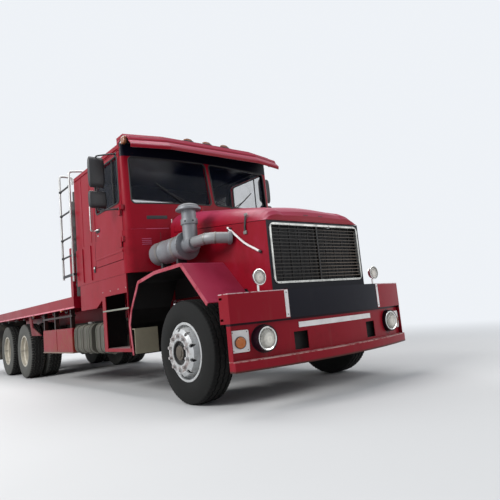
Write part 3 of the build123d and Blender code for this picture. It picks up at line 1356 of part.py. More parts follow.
def wheel(name, side, station, centres, disc_x, bearing, sunk):
    """One wheel body: centres are the tyres' middles from the inside outwards.

    A sunk hub ends inside the disc, with its cap in a recess.
    """
    with BuildPart() as tyres:
        for centre in centres:
            tyre_shape(side * centre, station, side)
    finish(f"tyre_{name}", tyres.part)
    with BuildPart() as rims:
        # A tyre's middle inside the disc's plane has its disc on the outer side
        for centre in centres:
            dish = 1 if centre < disc_x else -1
            rim_shape(side * centre, station, side, dish, abs(disc_x - centre))
        hub_end = disc_x - HUB_SUNK if sunk else disc_x + HUB_OUT
        bar_x(span(side, bearing, hub_end), station, HUB_Z, HUB_R)
        bar_x(span(side, bearing, bearing + DRUM_WIDTH), station, HUB_Z, DRUM_R)
        if sunk:
            floor = disc_x - RECESS_DEPTH
            bar_x(span(side, floor, disc_x + 1), station, HUB_Z, RECESS_R, Mode.SUBTRACT)
            bar_x(span(side, floor - 1, disc_x - HUB_CAP_SUNK), station, HUB_Z, HUB_CAP_R)
        bore_end = spindle_end(disc_x, sunk) + 1
        bore = span(side, bearing - 1, bore_end)
        bar_x(bore, station, HUB_Z, SPINDLE_R + RUNNING_FIT, Mode.SUBTRACT)
        axle_plane = Plane(origin=(side * (disc_x - 80), y(station), HUB_Z), z_dir=(side, 0, 0))
        with BuildSketch(axle_plane) as holes:
            with PolarLocations(HAND_HOLE_CIRCLE_R, STUD_COUNT):
                Circle(HAND_HOLE_R)
        extrude(holes.sketch, amount=160, mode=Mode.SUBTRACT)
        stud_plane = Plane(origin=(side * (disc_x - 4), y(station), HUB_Z), z_dir=(side, 0, 0))
        with BuildSketch(stud_plane) as studs:
            with PolarLocations(STUD_CIRCLE_R, STUD_COUNT):
                RegularPolygon(STUD_R, 6)
        extrude(studs.sketch, amount=STUD_LENGTH)
    finish(f"rim_{name}", rims.part)


FRONT_DISC_X = FRONT_TYRE_X + FRONT_DISC_OFFSET
FRONT_BEARING = KINGPIN_X + 100
for side, word in ((-1, "right"), (1, "left")):
    wheel(
        f"front_{word}", side, FRONT_AXLE, (FRONT_TYRE_X,), FRONT_DISC_X, FRONT_BEARING, True
    )
    for number, station in enumerate(REAR_AXLES, start=1):
        wheel(
            f"rear_{number}_{word}", side, station, (REAR_INNER_X, REAR_OUTER_X),
            REAR_DISC_X, BEARING_X + RUNNING_FIT, False,
        )


# Knuckles: a fork on the kingpin with the spindle that carries the wheel
def knuckle(word, side):
    top = BOSS_Z + BOSS_HALF
    bottom = BOSS_Z - BOSS_HALF
    web = (KINGPIN_X + BOSS_R + 12, FRONT_BEARING - RUNNING_FIT)
    with BuildPart() as fork:
        for z in ((top + FORK_GAP, top + FORK_GAP + FORK_ARM),
                  (bottom - FORK_GAP - FORK_ARM, bottom - FORK_GAP)):
            bar_z(side * KINGPIN_X, FRONT_AXLE, z, BOSS_R)
            block(span(side, KINGPIN_X, web[1]), (FRONT_AXLE - BOSS_R, FRONT_AXLE + BOSS_R), z)
        block(span(side, *web), (FRONT_AXLE - 60, FRONT_AXLE + 60),
              (bottom - FORK_GAP - FORK_ARM, top + FORK_GAP + FORK_ARM))
        pin = (bottom - FORK_GAP - FORK_ARM, top + FORK_GAP + FORK_ARM)
        bar_z(side * KINGPIN_X, FRONT_AXLE, pin, KINGPIN_R)
        spindle = span(side, web[0], spindle_end(FRONT_DISC_X, True))
        bar_x(spindle, FRONT_AXLE, HUB_Z, SPINDLE_R)
    finish(f"knuckle_{word}", fork.part)


for side, word in ((-1, "right"), (1, "left")):
    knuckle(word, side)
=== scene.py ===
"""Looks of a worn red bonneted flatbed truck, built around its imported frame."""

import math

import bmesh
import bpy
import numpy as np
from mathutils import Matrix, Vector


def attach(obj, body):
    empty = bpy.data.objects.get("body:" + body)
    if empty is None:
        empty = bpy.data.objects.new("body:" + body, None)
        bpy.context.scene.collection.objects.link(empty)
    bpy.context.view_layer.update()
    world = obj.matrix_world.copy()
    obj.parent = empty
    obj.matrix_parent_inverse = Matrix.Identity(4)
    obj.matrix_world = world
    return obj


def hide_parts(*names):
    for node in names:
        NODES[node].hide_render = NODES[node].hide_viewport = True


bl_info = {
    "name": "Bonneted flatbed truck",
    "version": (1, 0, 0),
    "blender": (4, 5, 0),
    "location": "View3D > Sidebar > Truck",
    "description": "Treaded tyres, lamps, trim and worn finishes for a bonneted flatbed truck",
    "category": "Object",
}

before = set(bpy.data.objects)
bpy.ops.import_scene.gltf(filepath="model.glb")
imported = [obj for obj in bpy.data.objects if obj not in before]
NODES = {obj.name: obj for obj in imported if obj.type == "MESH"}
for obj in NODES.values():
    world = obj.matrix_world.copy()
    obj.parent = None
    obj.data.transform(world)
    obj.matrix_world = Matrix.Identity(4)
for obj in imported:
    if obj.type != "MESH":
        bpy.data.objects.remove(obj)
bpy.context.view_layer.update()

# Metres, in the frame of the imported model: the truck faces -Y and its right side is -X.
HALF_LENGTH = 5.26
HUB_Z = 0.525
BUMPER_RADIUS = (1.25 ** 2 + 0.18 ** 2) / (2 * 0.18)
SIDES = (("right", -1), ("left", 1))
WHEELS = (
    # name, station of the axle, distances of the tyres' middles, distance of the disc's face
    ("front", 1140, (1.03,), 1.22),
    ("rear_1", 7130, (0.755, 1.075), 0.915),
    ("rear_2", 8530, (0.755, 1.075), 0.915),
)
# Distance from the middle, station and height
HEADLAMP = (0.922, 108, 0.62)
ROUND_LAMP = (0.86, 238, 1.174)
# Colour of the backdrop, and of the floor far out
BACKDROP = (0.86, 0.89, 0.93)

LEFT, BACK, AHEAD, UP = (1, 0, 0), (0, 1, 0), (0, -1, 0), (0, 0, 1)
# The two axes of a plate that faces a given way
FRONT, REAR, TOP, UNDER = (LEFT, UP), ((-1, 0, 0), UP), (LEFT, BACK), (LEFT, AHEAD)


def along(station):
    """Y of a station, which is a distance in millimetres behind the bumper's foremost point."""
    return station / 1000 - HALF_LENGTH


def point(x, station, z):
    """A point from its distance across, its station and its height."""
    return x, along(station), z


def route(side, *stops):
    """A path on one side; each stop is a distance from the middle, a station and a height."""
    return [(side * x, along(station), z) for x, station, z in stops]


def outer(side):
    """The two axes of a plate that faces out on one side."""
    return (0, side, 0), UP


def length(name, words, default):
    """A length in metres that a user may change."""
    return bpy.props.FloatProperty(
        name=name, description=words, default=default, min=0.0, unit="LENGTH", precision=4
    )


def colour(name, words, default):
    """A colour that a user may change."""
    return bpy.props.FloatVectorProperty(
        name=name, description=words, default=default, subtype="COLOR", min=0.0, max=1.0, size=3
    )


class TruckSizes(bpy.types.PropertyGroup):
    """Sizes of the pieces that the looks add."""

    tread_depth: length("Tread depth", "Depth of the tyres' grooves", 0.014)
    groove_width: length("Groove width", "Width of the grooves round the tyres", 0.012)
    gasket: length("Gasket", "Radius of the rubber round the glass", 0.011)
    rivet: length("Rivet", "Radius of rivet and bolt heads", 0.009)
    wiper: length("Wiper", "Length of a wiper blade", 0.46)
    rope_hook: length("Rope hook", "Radius of the bars of the deck's rope hooks", 0.007)
    strap: length("Strap", "Width of the hood's rubber straps", 0.024)


class TruckColours(bpy.types.PropertyGroup):
    """Colours of the finishes."""

    red: colour("Red", "Crimson paint", (0.23, 0.003, 0.012))
    faded: colour("Faded red", "Paint bleached by the sun on the tops", (0.40, 0.050, 0.115))
    rust: colour("Rust", "Rust and worn-through paint", (0.115, 0.035, 0.018))
    dust: colour("Dust", "Pale brown dust", (0.20, 0.165, 0.125))
    white: colour("White", "Worn white paint and strips", (0.80, 0.77, 0.76))
    black: colour("Black", "Black paint and plastic", (0.003, 0.003, 0.008))
    pale_metal: colour("Pale metal", "Grille frame and trim", (0.56, 0.56, 0.53))
    cleaner: colour("Grey blue", "Air cleaner", (0.20, 0.207, 0.220))
    tank: colour("Tank grey", "Fuel tanks", (0.050, 0.050, 0.040))
    silver: colour("Wheel silver", "Front wheels", (0.55, 0.56, 0.56))
    cream: colour("Wheel cream", "Rear wheels", (0.56, 0.52, 0.43))
    navy: colour("Glass", "Tinted glass", (0.006, 0.011, 0.030))
    amber: colour("Amber", "Amber lenses", (0.50, 0.125, 0.008))
    chassis: colour("Chassis", "Chassis paint", (0.022, 0.019, 0.017))


def sizes():
    """The sizes as the user has set them."""
    return bpy.context.scene.truck_sizes


def tints():
    """The colours as the user has set them."""
    return bpy.context.scene.truck_colours


class Value:
    """A socket in a formula: each operator adds a Math node and gives its output."""

    def __init__(self, nodes, socket):
        self.nodes, self.socket = nodes, socket

    def __add__(self, other):
        return self.nodes.math("ADD", self, other)

    def __radd__(self, other):
        return self.nodes.math("ADD", self, other)

    def __sub__(self, other):
        return self.nodes.math("SUBTRACT", self, other)

    def __rsub__(self, other):
        return self.nodes.math("SUBTRACT", other, self)

    def __mul__(self, other):
        return self.nodes.math("MULTIPLY", self, other)

    def __rmul__(self, other):
        return self.nodes.math("MULTIPLY", self, other)

    def __abs__(self):
        return self.nodes.math("ABSOLUTE", self)

    def near(self, low, high):
        """Rises smoothly from 0 at low to 1 at high."""
        node = self.nodes.node(
            "ShaderNodeMapRange", {"interpolation_type": "SMOOTHSTEP"},
            {"Value": self, "From Min": low, "From Max": high},
        )
        return self.nodes.out(node, "Result")

    def between(self, low, high, soft=0.004):
        """1 from low to high, falling to 0 over a soft edge."""
        return self.near(low - soft, low) * (1 - self.near(high, high + soft))


class Nodes:
    """The node tree of a material or world."""

    def __init__(self, owner):
        owner.use_nodes = True
        self.tree = owner.node_tree
        self.tree.nodes.clear()

    def node(self, kind, settings=None, inputs=None):
        """Adds a node: its settings first, then the values or links of its sockets."""
        made = self.tree.nodes.new(kind)
        for name, value in (settings or {}).items():
            setattr(made, name, value)
        for name, value in (inputs or {}).items():
            socket = made.inputs[name]
            if isinstance(value, Value):
                self.tree.links.new(value.socket, socket)
            elif socket.type == "RGBA":
                socket.default_value = (*value, 1.0)
            else:
                socket.default_value = value
        return made

    def out(self, node, name):
        """One output of a node, for use in a formula."""
        return Value(self, node.outputs[name])

    def math(self, operation, *values):
        """One Math node on values and numbers."""
        node = self.node("ShaderNodeMath", {"operation": operation}, dict(enumerate(values)))
        return self.out(node, "Value")


class Finish(Nodes):
    """One material: the piece's own coordinates, its facing, patterns and the closing shader."""

    def __init__(self, name):
        self.material = bpy.data.materials.new(name)
        super().__init__(self.material)
        self.place = self.out(self.node("ShaderNodeTexCoord"), "Object")
        facing = self.out(self.node("ShaderNodeNewGeometry"), "Normal")
        self.x, self.y, self.z = self.parts(self.place)
        self.facing_x, self.facing_y, self.up = self.parts(facing)

    def parts(self, vector):
        """The three numbers of a vector."""
        node = self.node("ShaderNodeSeparateXYZ", inputs={"Vector": vector})
        return [self.out(node, axis) for axis in "XYZ"]

    def stretched(self, stretch):
        """The piece's own coordinates, each multiplied by a number."""
        node = self.node("ShaderNodeMapping", inputs={"Vector": self.place, "Scale": stretch})
        return self.out(node, "Vector")

    def noise(self, scale, detail=3.0, rough=0.55, stretch=(1, 1, 1)):
        """Fractal noise from 0 to 1 on the piece's own coordinates."""
        node = self.node("ShaderNodeTexNoise", inputs={
            "Vector": self.stretched(stretch), "Scale": scale, "Detail": detail,
            "Roughness": rough,
        })
        return self.out(node, "Fac")

    def cells(self, scale, stretch):
        """Distance to the nearest point of a scattered pattern."""
        node = self.node("ShaderNodeTexVoronoi", inputs={
            "Vector": self.stretched(stretch), "Scale": scale,
        })
        return self.out(node, "Distance")

    def attribute(self, name):
        """A number kept on each point of the mesh."""
        return self.out(self.node("ShaderNodeAttribute", {"attribute_name": name}), "Fac")

    def wave(self, value, pitch):
        """A sine from 0 to 1 that repeats once for each pitch."""
        return self.math("SINE", value * (2 * math.pi / pitch)) * 0.5 + 0.5

    def distance(self, first, second):
        """Square root of the sum of two squares."""
        return self.math("SQRT", first * first + second * second)

    def blend(self, share, first, second):
        """Colour that goes from the first to the second as the share rises."""
        settings = {"data_type": "RGBA", "clamp_factor": True}
        node = self.node("ShaderNodeMix", settings, {0: share, 6: first, 7: second})
        return self.out(node, 2)

    def surface(self, base, rough, metal=0.0, height=None, depth=0.002, **fixed):
        """Closes the material with one shader; height drives its bump."""
        inputs = {"Base Color": base, "Roughness": rough, "Metallic": metal}
        inputs.update({name.replace("_", " "): value for name, value in fixed.items()})
        if height is not None:
            bump = self.node("ShaderNodeBump", inputs={
                "Strength": 1.0, "Distance": depth, "Height": height,
            })
            inputs["Normal"] = self.out(bump, "Normal")
        shader = self.node("ShaderNodeBsdfPrincipled", inputs=inputs)
        self.node("ShaderNodeOutputMaterial", inputs={"Surface": self.out(shader, "BSDF")})
        return self.material


def mix(share, first, second):
    """A number that goes from the first to the second with the share."""
    return share * (second - first) + first


def shaded(shade, share):
    """A colour with each of its three numbers multiplied by a share."""
    return tuple(share * v for v in shade)


def worn_red(name, extra=None, rust=0.0, low_dust=1.0):
    """Crimson paint: bleached where it faces up, mottled, chipped, with dust low down."""
    f, c = Finish(name), tints()
    patches = f.noise(1.7, 4.0, 0.6)
    grain = f.noise(60.0, 2.0)
    bleach = f.up.near(0.15, 0.9) * mix(patches, 0.25, 0.85)
    base = f.blend(bleach, c.red, c.faded)
    smears = f.noise(4.0, 5.0, 0.65, (1, 1, 0.45)).near(0.50, 0.78)
    base = f.blend(smears * mix(abs(f.facing_x), 0.04, 0.16), base, c.faded)
    base = f.blend(f.noise(3.1, 5.0, 0.7).near(0.50, 0.78) * 0.45, base, (0.105, 0.001, 0.004))
    if extra:
        base = extra(f, base)
    chips = f.noise(34.0, 6.0, 0.75).near(0.665 - rust, 0.70 - rust)
    base = f.blend(chips * mix(patches, 0.3, 1.0), base, c.rust)
    streaks = f.noise(9.0, 4.0, 0.6, (1, 1, 0.12)).near(0.55, 0.8)
    dusty = (1 - f.z.near(0.32, 1.2)) * mix(streaks, 0.015, 0.20) * low_dust
    base = f.blend(dusty, base, c.dust)
    rough = mix(patches, 0.26, 0.44) + dusty * 0.5 + chips * 0.3
    height = grain * 0.10 - chips * 0.6 + f.noise(2.2, 2.0) * 2.2
    return f.surface(base, rough, height=height, depth=0.0012, Specular_IOR_Level=0.13)


def bumper_marks(f, base):
    """Black middle band, a painted shadow line under the band, worn pale edges on top and along the
    lip, black lamp holes.
    """
    across, black = abs(f.x), tints().black
    band = f.z.between(0.7755, 1.05)
    base = f.blend(band * (1 - across.near(0.656, 0.660)), base, black)
    worn = f.noise(14.0, 5.0, 0.7)
    top = f.z.near(1.0305, 1.0335) * across.near(0.70, 0.703) * worn.near(0.34, 0.5)
    base = f.blend(top * mix(f.up.near(0.5, 0.9), 0.85, 0.22), base, (0.62, 0.46, 0.47))
    lip = f.z.between(0.447, 0.4552, 0.002) * worn.near(0.36, 0.56)
    base = f.blend(lip * 0.8, base, (0.50, 0.33, 0.30))
    under = 1 - f.z.near(0.366, 0.385)
    base = f.blend(under * 0.85, base, (0.035, 0.020, 0.014))
    # Painted shadow: a black strip just under the band, where the band's overhang casts its shade.
    base = f.blend(f.z.between(0.757, 0.7755, 0.002) * 0.9, base, black)
    hole = 1 - f.distance(across - HEADLAMP[0], f.z - HEADLAMP[2]).near(0.124, 0.127)
    return f.blend(hole * 0.95, base, black)


def cab_marks(f, base):
    """Near-black on every face that looks into the cab, which is dark trim and painted shade of the
    cab's dark interior, and painted shadow, black, on the strip over the windscreen under the
    visor.
    """
    dy, dz = f.y - along(3070), f.z - 2.3
    outwards = f.facing_x * f.x + f.facing_y * dy + f.up * dz
    # Painted shade: inward faces turn near-black so the cab's inside reads dark, over its dark
    # trim.
    base = f.blend(1 - outwards.near(-0.04, 0.04), base, (0.006, 0.005, 0.006))
    # Painted shadow: the strip above the windscreen, under the visor, is black.
    header_shadow = f.z.near(2.943, 2.946) * (1 - f.y.near(along(2275), along(2285)))
    return f.blend(header_shadow, base, tints().black)


def door_marks(f, base):
    """Near-black on every face that looks into the cab: dark trim and painted shade of the cab's
    dark interior.
    """
    inner = 1 - (f.facing_x * f.x).near(-0.02, -0.01)
    # Painted shade: inward faces turn near-black so the cab's interior reads dark.
    return f.blend(inner, base, (0.008, 0.007, 0.008))


def nose_marks(f, base):
    """Black front round the grille; painted shade, near-black, on the inner sides in the engine bay
    and on the sides in the wheel arches under the fenders.
    """
    base = f.blend(1 - f.y.near(along(239), along(241)), base, tints().black)
    # Painted shade: faces that look into the engine bay turn near-black.
    inner = 1 - (f.facing_x * f.x).near(-0.02, -0.01)
    # The fender's front slope, which rises 1.0188 for each metre back, up to its flat top
    slope = (f.y - along(560)) * 1.0188 + 0.985
    # Painted shade: the nose's sides under the fenders, in the wheel arches, turn near-black.
    arch_shade = (1 - f.z.near(1.388, 1.396)) * (slope - f.z).near(0.0, 0.01)
    return f.blend(f.math("MAXIMUM", inner, arch_shade), base, (0.010, 0.008, 0.008))


def visor_marks(f, base):
    """Painted shadow, black, on the underside, with a painted shade line in the groove and a
    painted highlight on the ridges at each fold of the front.
    """
    groove, ridge_highlight = (0.09, 0.001, 0.008), (0.60, 0.13, 0.20)
    # At each fold: painted shade in the groove and a painted highlight on the ridges.
    for fold in (3.004, 3.061, 3.110, 3.151):
        base = f.blend(f.z.between(fold, fold + 0.009, 0.003) * 0.75, base, groove)
        base = f.blend(f.z.between(fold - 0.014, fold - 0.002, 0.004) * 0.35, base, ridge_highlight)
    # Painted shadow: faces that look down are black.
    return f.blend(1 - f.up.near(-0.35, -0.15), base, tints().black)


def locker_marks(f, base):
    """Beige lip under the doors, rusty doors, and a dark band above them, which is painted shade
    under the deck over the hangers' own dark colour.
    """
    lip = 1 - f.z.near(0.5195, 0.5215)
    base = f.blend(f.noise(7.0, 6.0, 0.75).near(0.42, 0.62) * 0.7, base, (0.20, 0.035, 0.016))
    base = f.blend(lip * 0.8, base, (0.20, 0.16, 0.12))
    # Painted shade under the deck, over the hangers' dark colour, above z 0.88.
    return f.blend(f.z.near(0.878, 0.884), base, (0.020, 0.008, 0.007))


def fender_marks(f, base):
    """Painted shade, near-black, on the inner faces in the wheel arch, and a pale pink band on the
    turned outer edge.
    """
    across = abs(f.x)
    dy, dz = f.y - along(1140), f.z - HUB_Z
    inwards = 1 - (f.facing_y * dy + f.up * dz).near(-0.03, -0.01)
    wall = abs(f.facing_x).near(0.5, 0.8) * (1 - across.near(1.14, 1.16))
    below = 1 - f.z.near(1.36, 1.40)
    inside = f.math("MAXIMUM", inwards, wall * below)
    # Painted shade: faces that look into the wheel arch turn near-black.
    base = f.blend(inside, base, (0.007, 0.006, 0.006))
    edge = across.near(1.2105, 1.2125)
    worn = f.noise(6.0, 5.0, 0.7).near(0.30, 0.55)
    return f.blend(edge * worn * 0.42, base, (0.62, 0.17, 0.22))


def deck_marks(f, base):
    """Bright pink lower edge of the side rails."""
    edge = f.z.between(1.168, 1.1905) * abs(f.x).near(1.235, 1.24)
    worn = f.noise(7.0, 5.0, 0.7).near(0.25, 0.5)
    return f.blend(edge * worn * 0.85, base, (0.70, 0.22, 0.27))


def step_marks(f, base):
    """Painted shade, near-black, in the wells, and pink worn tops of the steps."""
    well_shade = (1 - abs(f.x).near(1.195, 1.203)) * (1 - f.up.near(0.4, 0.7))
    # Painted shade in the step wells.
    base = f.blend(well_shade, base, (0.012, 0.011, 0.011))
    top = f.up.near(0.8, 0.95) * (1 - f.z.near(1.10, 1.12)) * f.noise(11.0, 5.0, 0.7).near(0.3, 0.6)
    return f.blend(top * 0.6, base, (0.50, 0.17, 0.18))


def plain_paint(name, shade, rough=0.5, dust=0.5, metal=0.0, rust=0.0):
    """One paint with mottling, small chips and dust on the upper faces and low down."""
    f, c = Finish(name), tints()
    patches = f.noise(4.0, 5.0, 0.6)
    base = f.blend(patches.near(0.35, 0.75) * 0.6, shade, shaded(shade, 0.62))
    stains = f.noise(18.0, 6.0, 0.75).near(0.62 - rust, 0.74 - rust)
    base = f.blend(stains * 0.6, base, c.rust)
    settled = (f.up.near(0.3, 0.9) * 0.7 + (1 - f.z.near(0.3, 1.3)) * 0.6) * dust
    settled = settled * mix(f.noise(12.0, 5.0, 0.7), 0.35, 1.0)
    base = f.blend(settled, base, c.dust)
    height = f.noise(110.0, 2.0) * 0.25 + patches * 0.8 - stains * 0.5
    roughness = mix(patches, rough, rough + 0.15) + settled * 0.3
    return f.surface(base, roughness, metal, height=height, depth=0.001)


def guard_finish():
    """Beige flaps at the front, red brackets in the middle, black rubber at the rear."""
    f, c = Finish("mudguard_mix"), tints()
    front, rear = 1 - f.y.near(along(2390), along(2410)), f.y.near(along(8990), along(9010))
    grime = f.noise(6.0, 5.0, 0.7)
    base = f.blend(front, (0.13, 0.003, 0.010), (0.30, 0.265, 0.185))
    base = f.blend(rear, base, (0.014, 0.013, 0.012))
    base = f.blend(grime.near(0.35, 0.8) * 0.45, base, c.dust)
    return f.surface(base, mix(grime, 0.6, 0.85), height=grime, depth=0.002)


def tyre_rubber(name, dust_low, dust_high):
    """Rubber: dusty brown low on the side, darker tread, with moulded rings on the wall."""
    f = Finish(name)
    reach = f.attribute("reach")
    dust = f.noise(7.0, 5.0, 0.7)
    dusty = mix(dust, dust_low, dust_high) * (1 - reach.near(0.505, 0.523))
    base = f.blend(dusty, (0.006, 0.006, 0.006), (0.17, 0.17, 0.155))
    scuff = f.noise(40.0, 5.0, 0.7).near(0.45, 0.7)
    base = f.blend(reach.near(0.518, 0.5245) * mix(scuff, 0.05, 0.35), base, (0.050, 0.046, 0.040))
    rings = f.wave(reach, 0.011) * (reach.near(0.33, 0.34) * (1 - reach.near(0.455, 0.465)))
    height = rings * 0.5 + f.noise(90.0, 3.0) * 0.5
    return f.surface(base, mix(dust, 0.72, 0.9), height=height, depth=0.0015,
                     Specular_IOR_Level=0.2)


def wheel_paint(name, shade, station, hub):
    """Wheel paint with a dark greasy hub, rust at the nuts and dust in the dish."""
    f, c = Finish(name), tints()
    reach = f.distance(f.y - along(station), f.z - HUB_Z)
    patches = f.noise(9.0, 5.0, 0.65)
    base = f.blend(patches.near(0.35, 0.8) * 0.55, shade, shaded(shade, 0.55))
    grime = f.noise(16.0, 6.0, 0.75).near(0.47, 0.72)
    base = f.blend(grime * 0.55, base, c.dust)
    ring_of_nuts = reach.between(0.150, 0.188, 0.012) * f.noise(26.0, 5.0).near(0.35, 0.6)
    base = f.blend(ring_of_nuts * 0.55, base, c.rust)
    dark = 1 - reach.near(hub, hub + 0.012)
    base = f.blend(dark * 0.9, base, (0.022, 0.020, 0.019))
    rough = mix(patches, 0.34, 0.55) + grime * 0.25
    return f.surface(base, rough, 0.15, height=patches + grime * 0.3, depth=0.0008)


def tinted_glass():
    """Dark navy glass with a film of dust in patches."""
    f, c = Finish("tinted_glass"), tints()
    film = f.noise(3.0, 5.0, 0.6).near(0.4, 0.85)
    base = f.blend(film * 0.08, c.navy, c.dust)
    return f.surface(base, mix(film, 0.03, 0.10), Alpha=mix(film, 0.13, 0.19), IOR=1.52)


def lens(name, shade, alpha, pitch):
    """Moulded lens with upright flutes."""
    f = Finish(name)
    flutes = f.wave(f.x + f.noise(8.0) * 0.002, pitch)
    base = f.blend(f.noise(22.0, 4.0).near(0.4, 0.8) * 0.25, shade, shaded(shade, 0.8))
    return f.surface(base, mix(flutes, 0.06, 0.13), Alpha=mix(flutes, alpha, min(1.0, alpha + 0.1)),
                     height=flutes, depth=0.0016, Coat_Weight=0.5, IOR=1.49)


def lamp_glass():
    """Clear fluted lens with a painted reflection: creamy and bright in the middle, greyer in rings
    towards the rim.
    """
    f = Finish("lamp_glass")
    across = abs(f.x)
    large = f.distance(across - HEADLAMP[0], f.z - (HEADLAMP[2] - 0.008))
    small = f.distance(across - ROUND_LAMP[0], f.z - (ROUND_LAMP[2] - 0.006))
    reach = f.math("MINIMUM", large, small * 1.35)
    flutes = f.wave(f.x, 0.011)
    # Painted reflection: the lens is creamy and bright in the middle and greys in rings towards the
    # rim.
    shade = reach.near(0.030, 0.088) * 0.75 + f.wave(reach, 0.030) * 0.12
    shade = shade + f.noise(24.0, 4.0).near(0.45, 0.75) * 0.25
    base = f.blend(shade, (0.94, 0.90, 0.80), (0.26, 0.25, 0.22))
    return f.surface(base, mix(flutes, 0.06, 0.14), Alpha=mix(shade, 0.78, 0.45), height=flutes,
                     depth=0.002, Coat_Weight=0.6, IOR=1.49)


def chrome():
    """Bright plating with a few dull spots."""
    f = Finish("worn_chrome")
    spots = f.noise(30.0, 5.0, 0.7).near(0.55, 0.75)
    base = f.blend(spots * 0.5, (0.74, 0.74, 0.72), (0.30, 0.26, 0.22))
    return f.surface(base, mix(spots, 0.10, 0.38), 1.0, height=spots, depth=0.0003)


def grille_metal():
    """Pale frame over dark slats, with a painted highlight on the slats' front edges that fades to
    the left and towards the top as painted light.
    """
    f, c = Finish("grille_metal"), tints()
    across = abs(f.x)
    rim = across.near(0.638, 0.641) + f.z.near(1.6805, 1.683) + (1 - f.z.near(1.125, 1.1275))
    rim = f.math("MINIMUM", rim, 1.0)
    worn = f.noise(12.0, 5.0, 0.7)
    pale = f.blend(worn.near(0.35, 0.7) * 0.7, c.pale_metal, shaded(c.pale_metal, 0.5))
    slat = f.blend(worn.near(0.3, 0.7), (0.014, 0.013, 0.012), (0.006, 0.005, 0.005))
    # Painted highlight on the slats' front edges, brightest low on the right and fading to the left
    # and upwards.
    edge = f.y.near(along(237.4), along(237.7)) * (1 - f.y.near(along(238.3), along(238.6)))
    painted_light_sweep = mix(f.x.near(-0.30, 0.35), 0.15, 1.0) * mix(f.z.near(1.25, 1.62), 1.0, 0.45)
    slat = f.blend(edge * painted_light_sweep * mix(worn, 0.4, 1.0), slat, (0.22, 0.17, 0.13))
    base = f.blend(rim, slat, pale)
    return f.surface(base, mix(worn, 0.34, 0.55), rim * 0.55, height=worn, depth=0.0004,
                     Specular_IOR_Level=0.25)


def deck_plate():
    """Worn red-brown steel plate with a raised tear pattern and scrapes along the deck."""
    f, c = Finish("deck_plate"), tints()
    tears = f.cells(26.0, (1, 2.2, 1)).near(0.30, 0.18)
    wear = f.noise(1.6, 6.0, 0.7, (1, 0.35, 1))
    base = f.blend(wear.near(0.35, 0.68), (0.125, 0.022, 0.020), c.rust)
    base = f.blend(tears * 0.25, base, (0.22, 0.17, 0.15))
    scrapes = f.noise(24.0, 5.0, 0.75, (1, 0.06, 1)).near(0.58, 0.72)
    base = f.blend(scrapes * 0.35, base, (0.26, 0.22, 0.20))
    base = f.blend(f.noise(9.0, 6.0, 0.75).near(0.40, 0.85) * 0.4, base, c.dust)
    return f.surface(base, mix(wear, 0.5, 0.75), 0.2, height=tears, depth=0.003)


def seat_cloth():
    """Woven cloth: two crossing threads with a darker seam shade."""
    f = Finish("seat_cloth")
    weave = f.wave(f.x, 0.006) * f.wave(f.z + f.y, 0.006)
    base = f.blend(f.noise(4.0, 4.0), (0.040, 0.036, 0.040), (0.090, 0.080, 0.082))
    base = f.blend(weave * 0.5, base, (0.13, 0.12, 0.12))
    return f.surface(base, 0.85, height=weave, depth=0.0012, Sheen_Weight=0.2)


def floor_finish():
    """Pale floor with a very faint mottle, which turns into the backdrop's colour far out."""
    f = Finish("pale_floor")
    y = f.math("MAXIMUM", abs(f.y) - 3.0, 0.0)
    far = f.distance(f.x, y).near(3.6, 10.5)
    base = f.blend(f.noise(0.35, 3.0), (0.60, 0.60, 0.595), (0.64, 0.64, 0.635))
    base = f.blend(far, base, (0.0, 0.0, 0.0))
    glow = f.blend(far, (0.0, 0.0, 0.0), BACKDROP)
    return f.surface(base, 0.75, Emission_Color=glow, Emission_Strength=1.0, Specular_IOR_Level=0.0)


PAINTS = {}


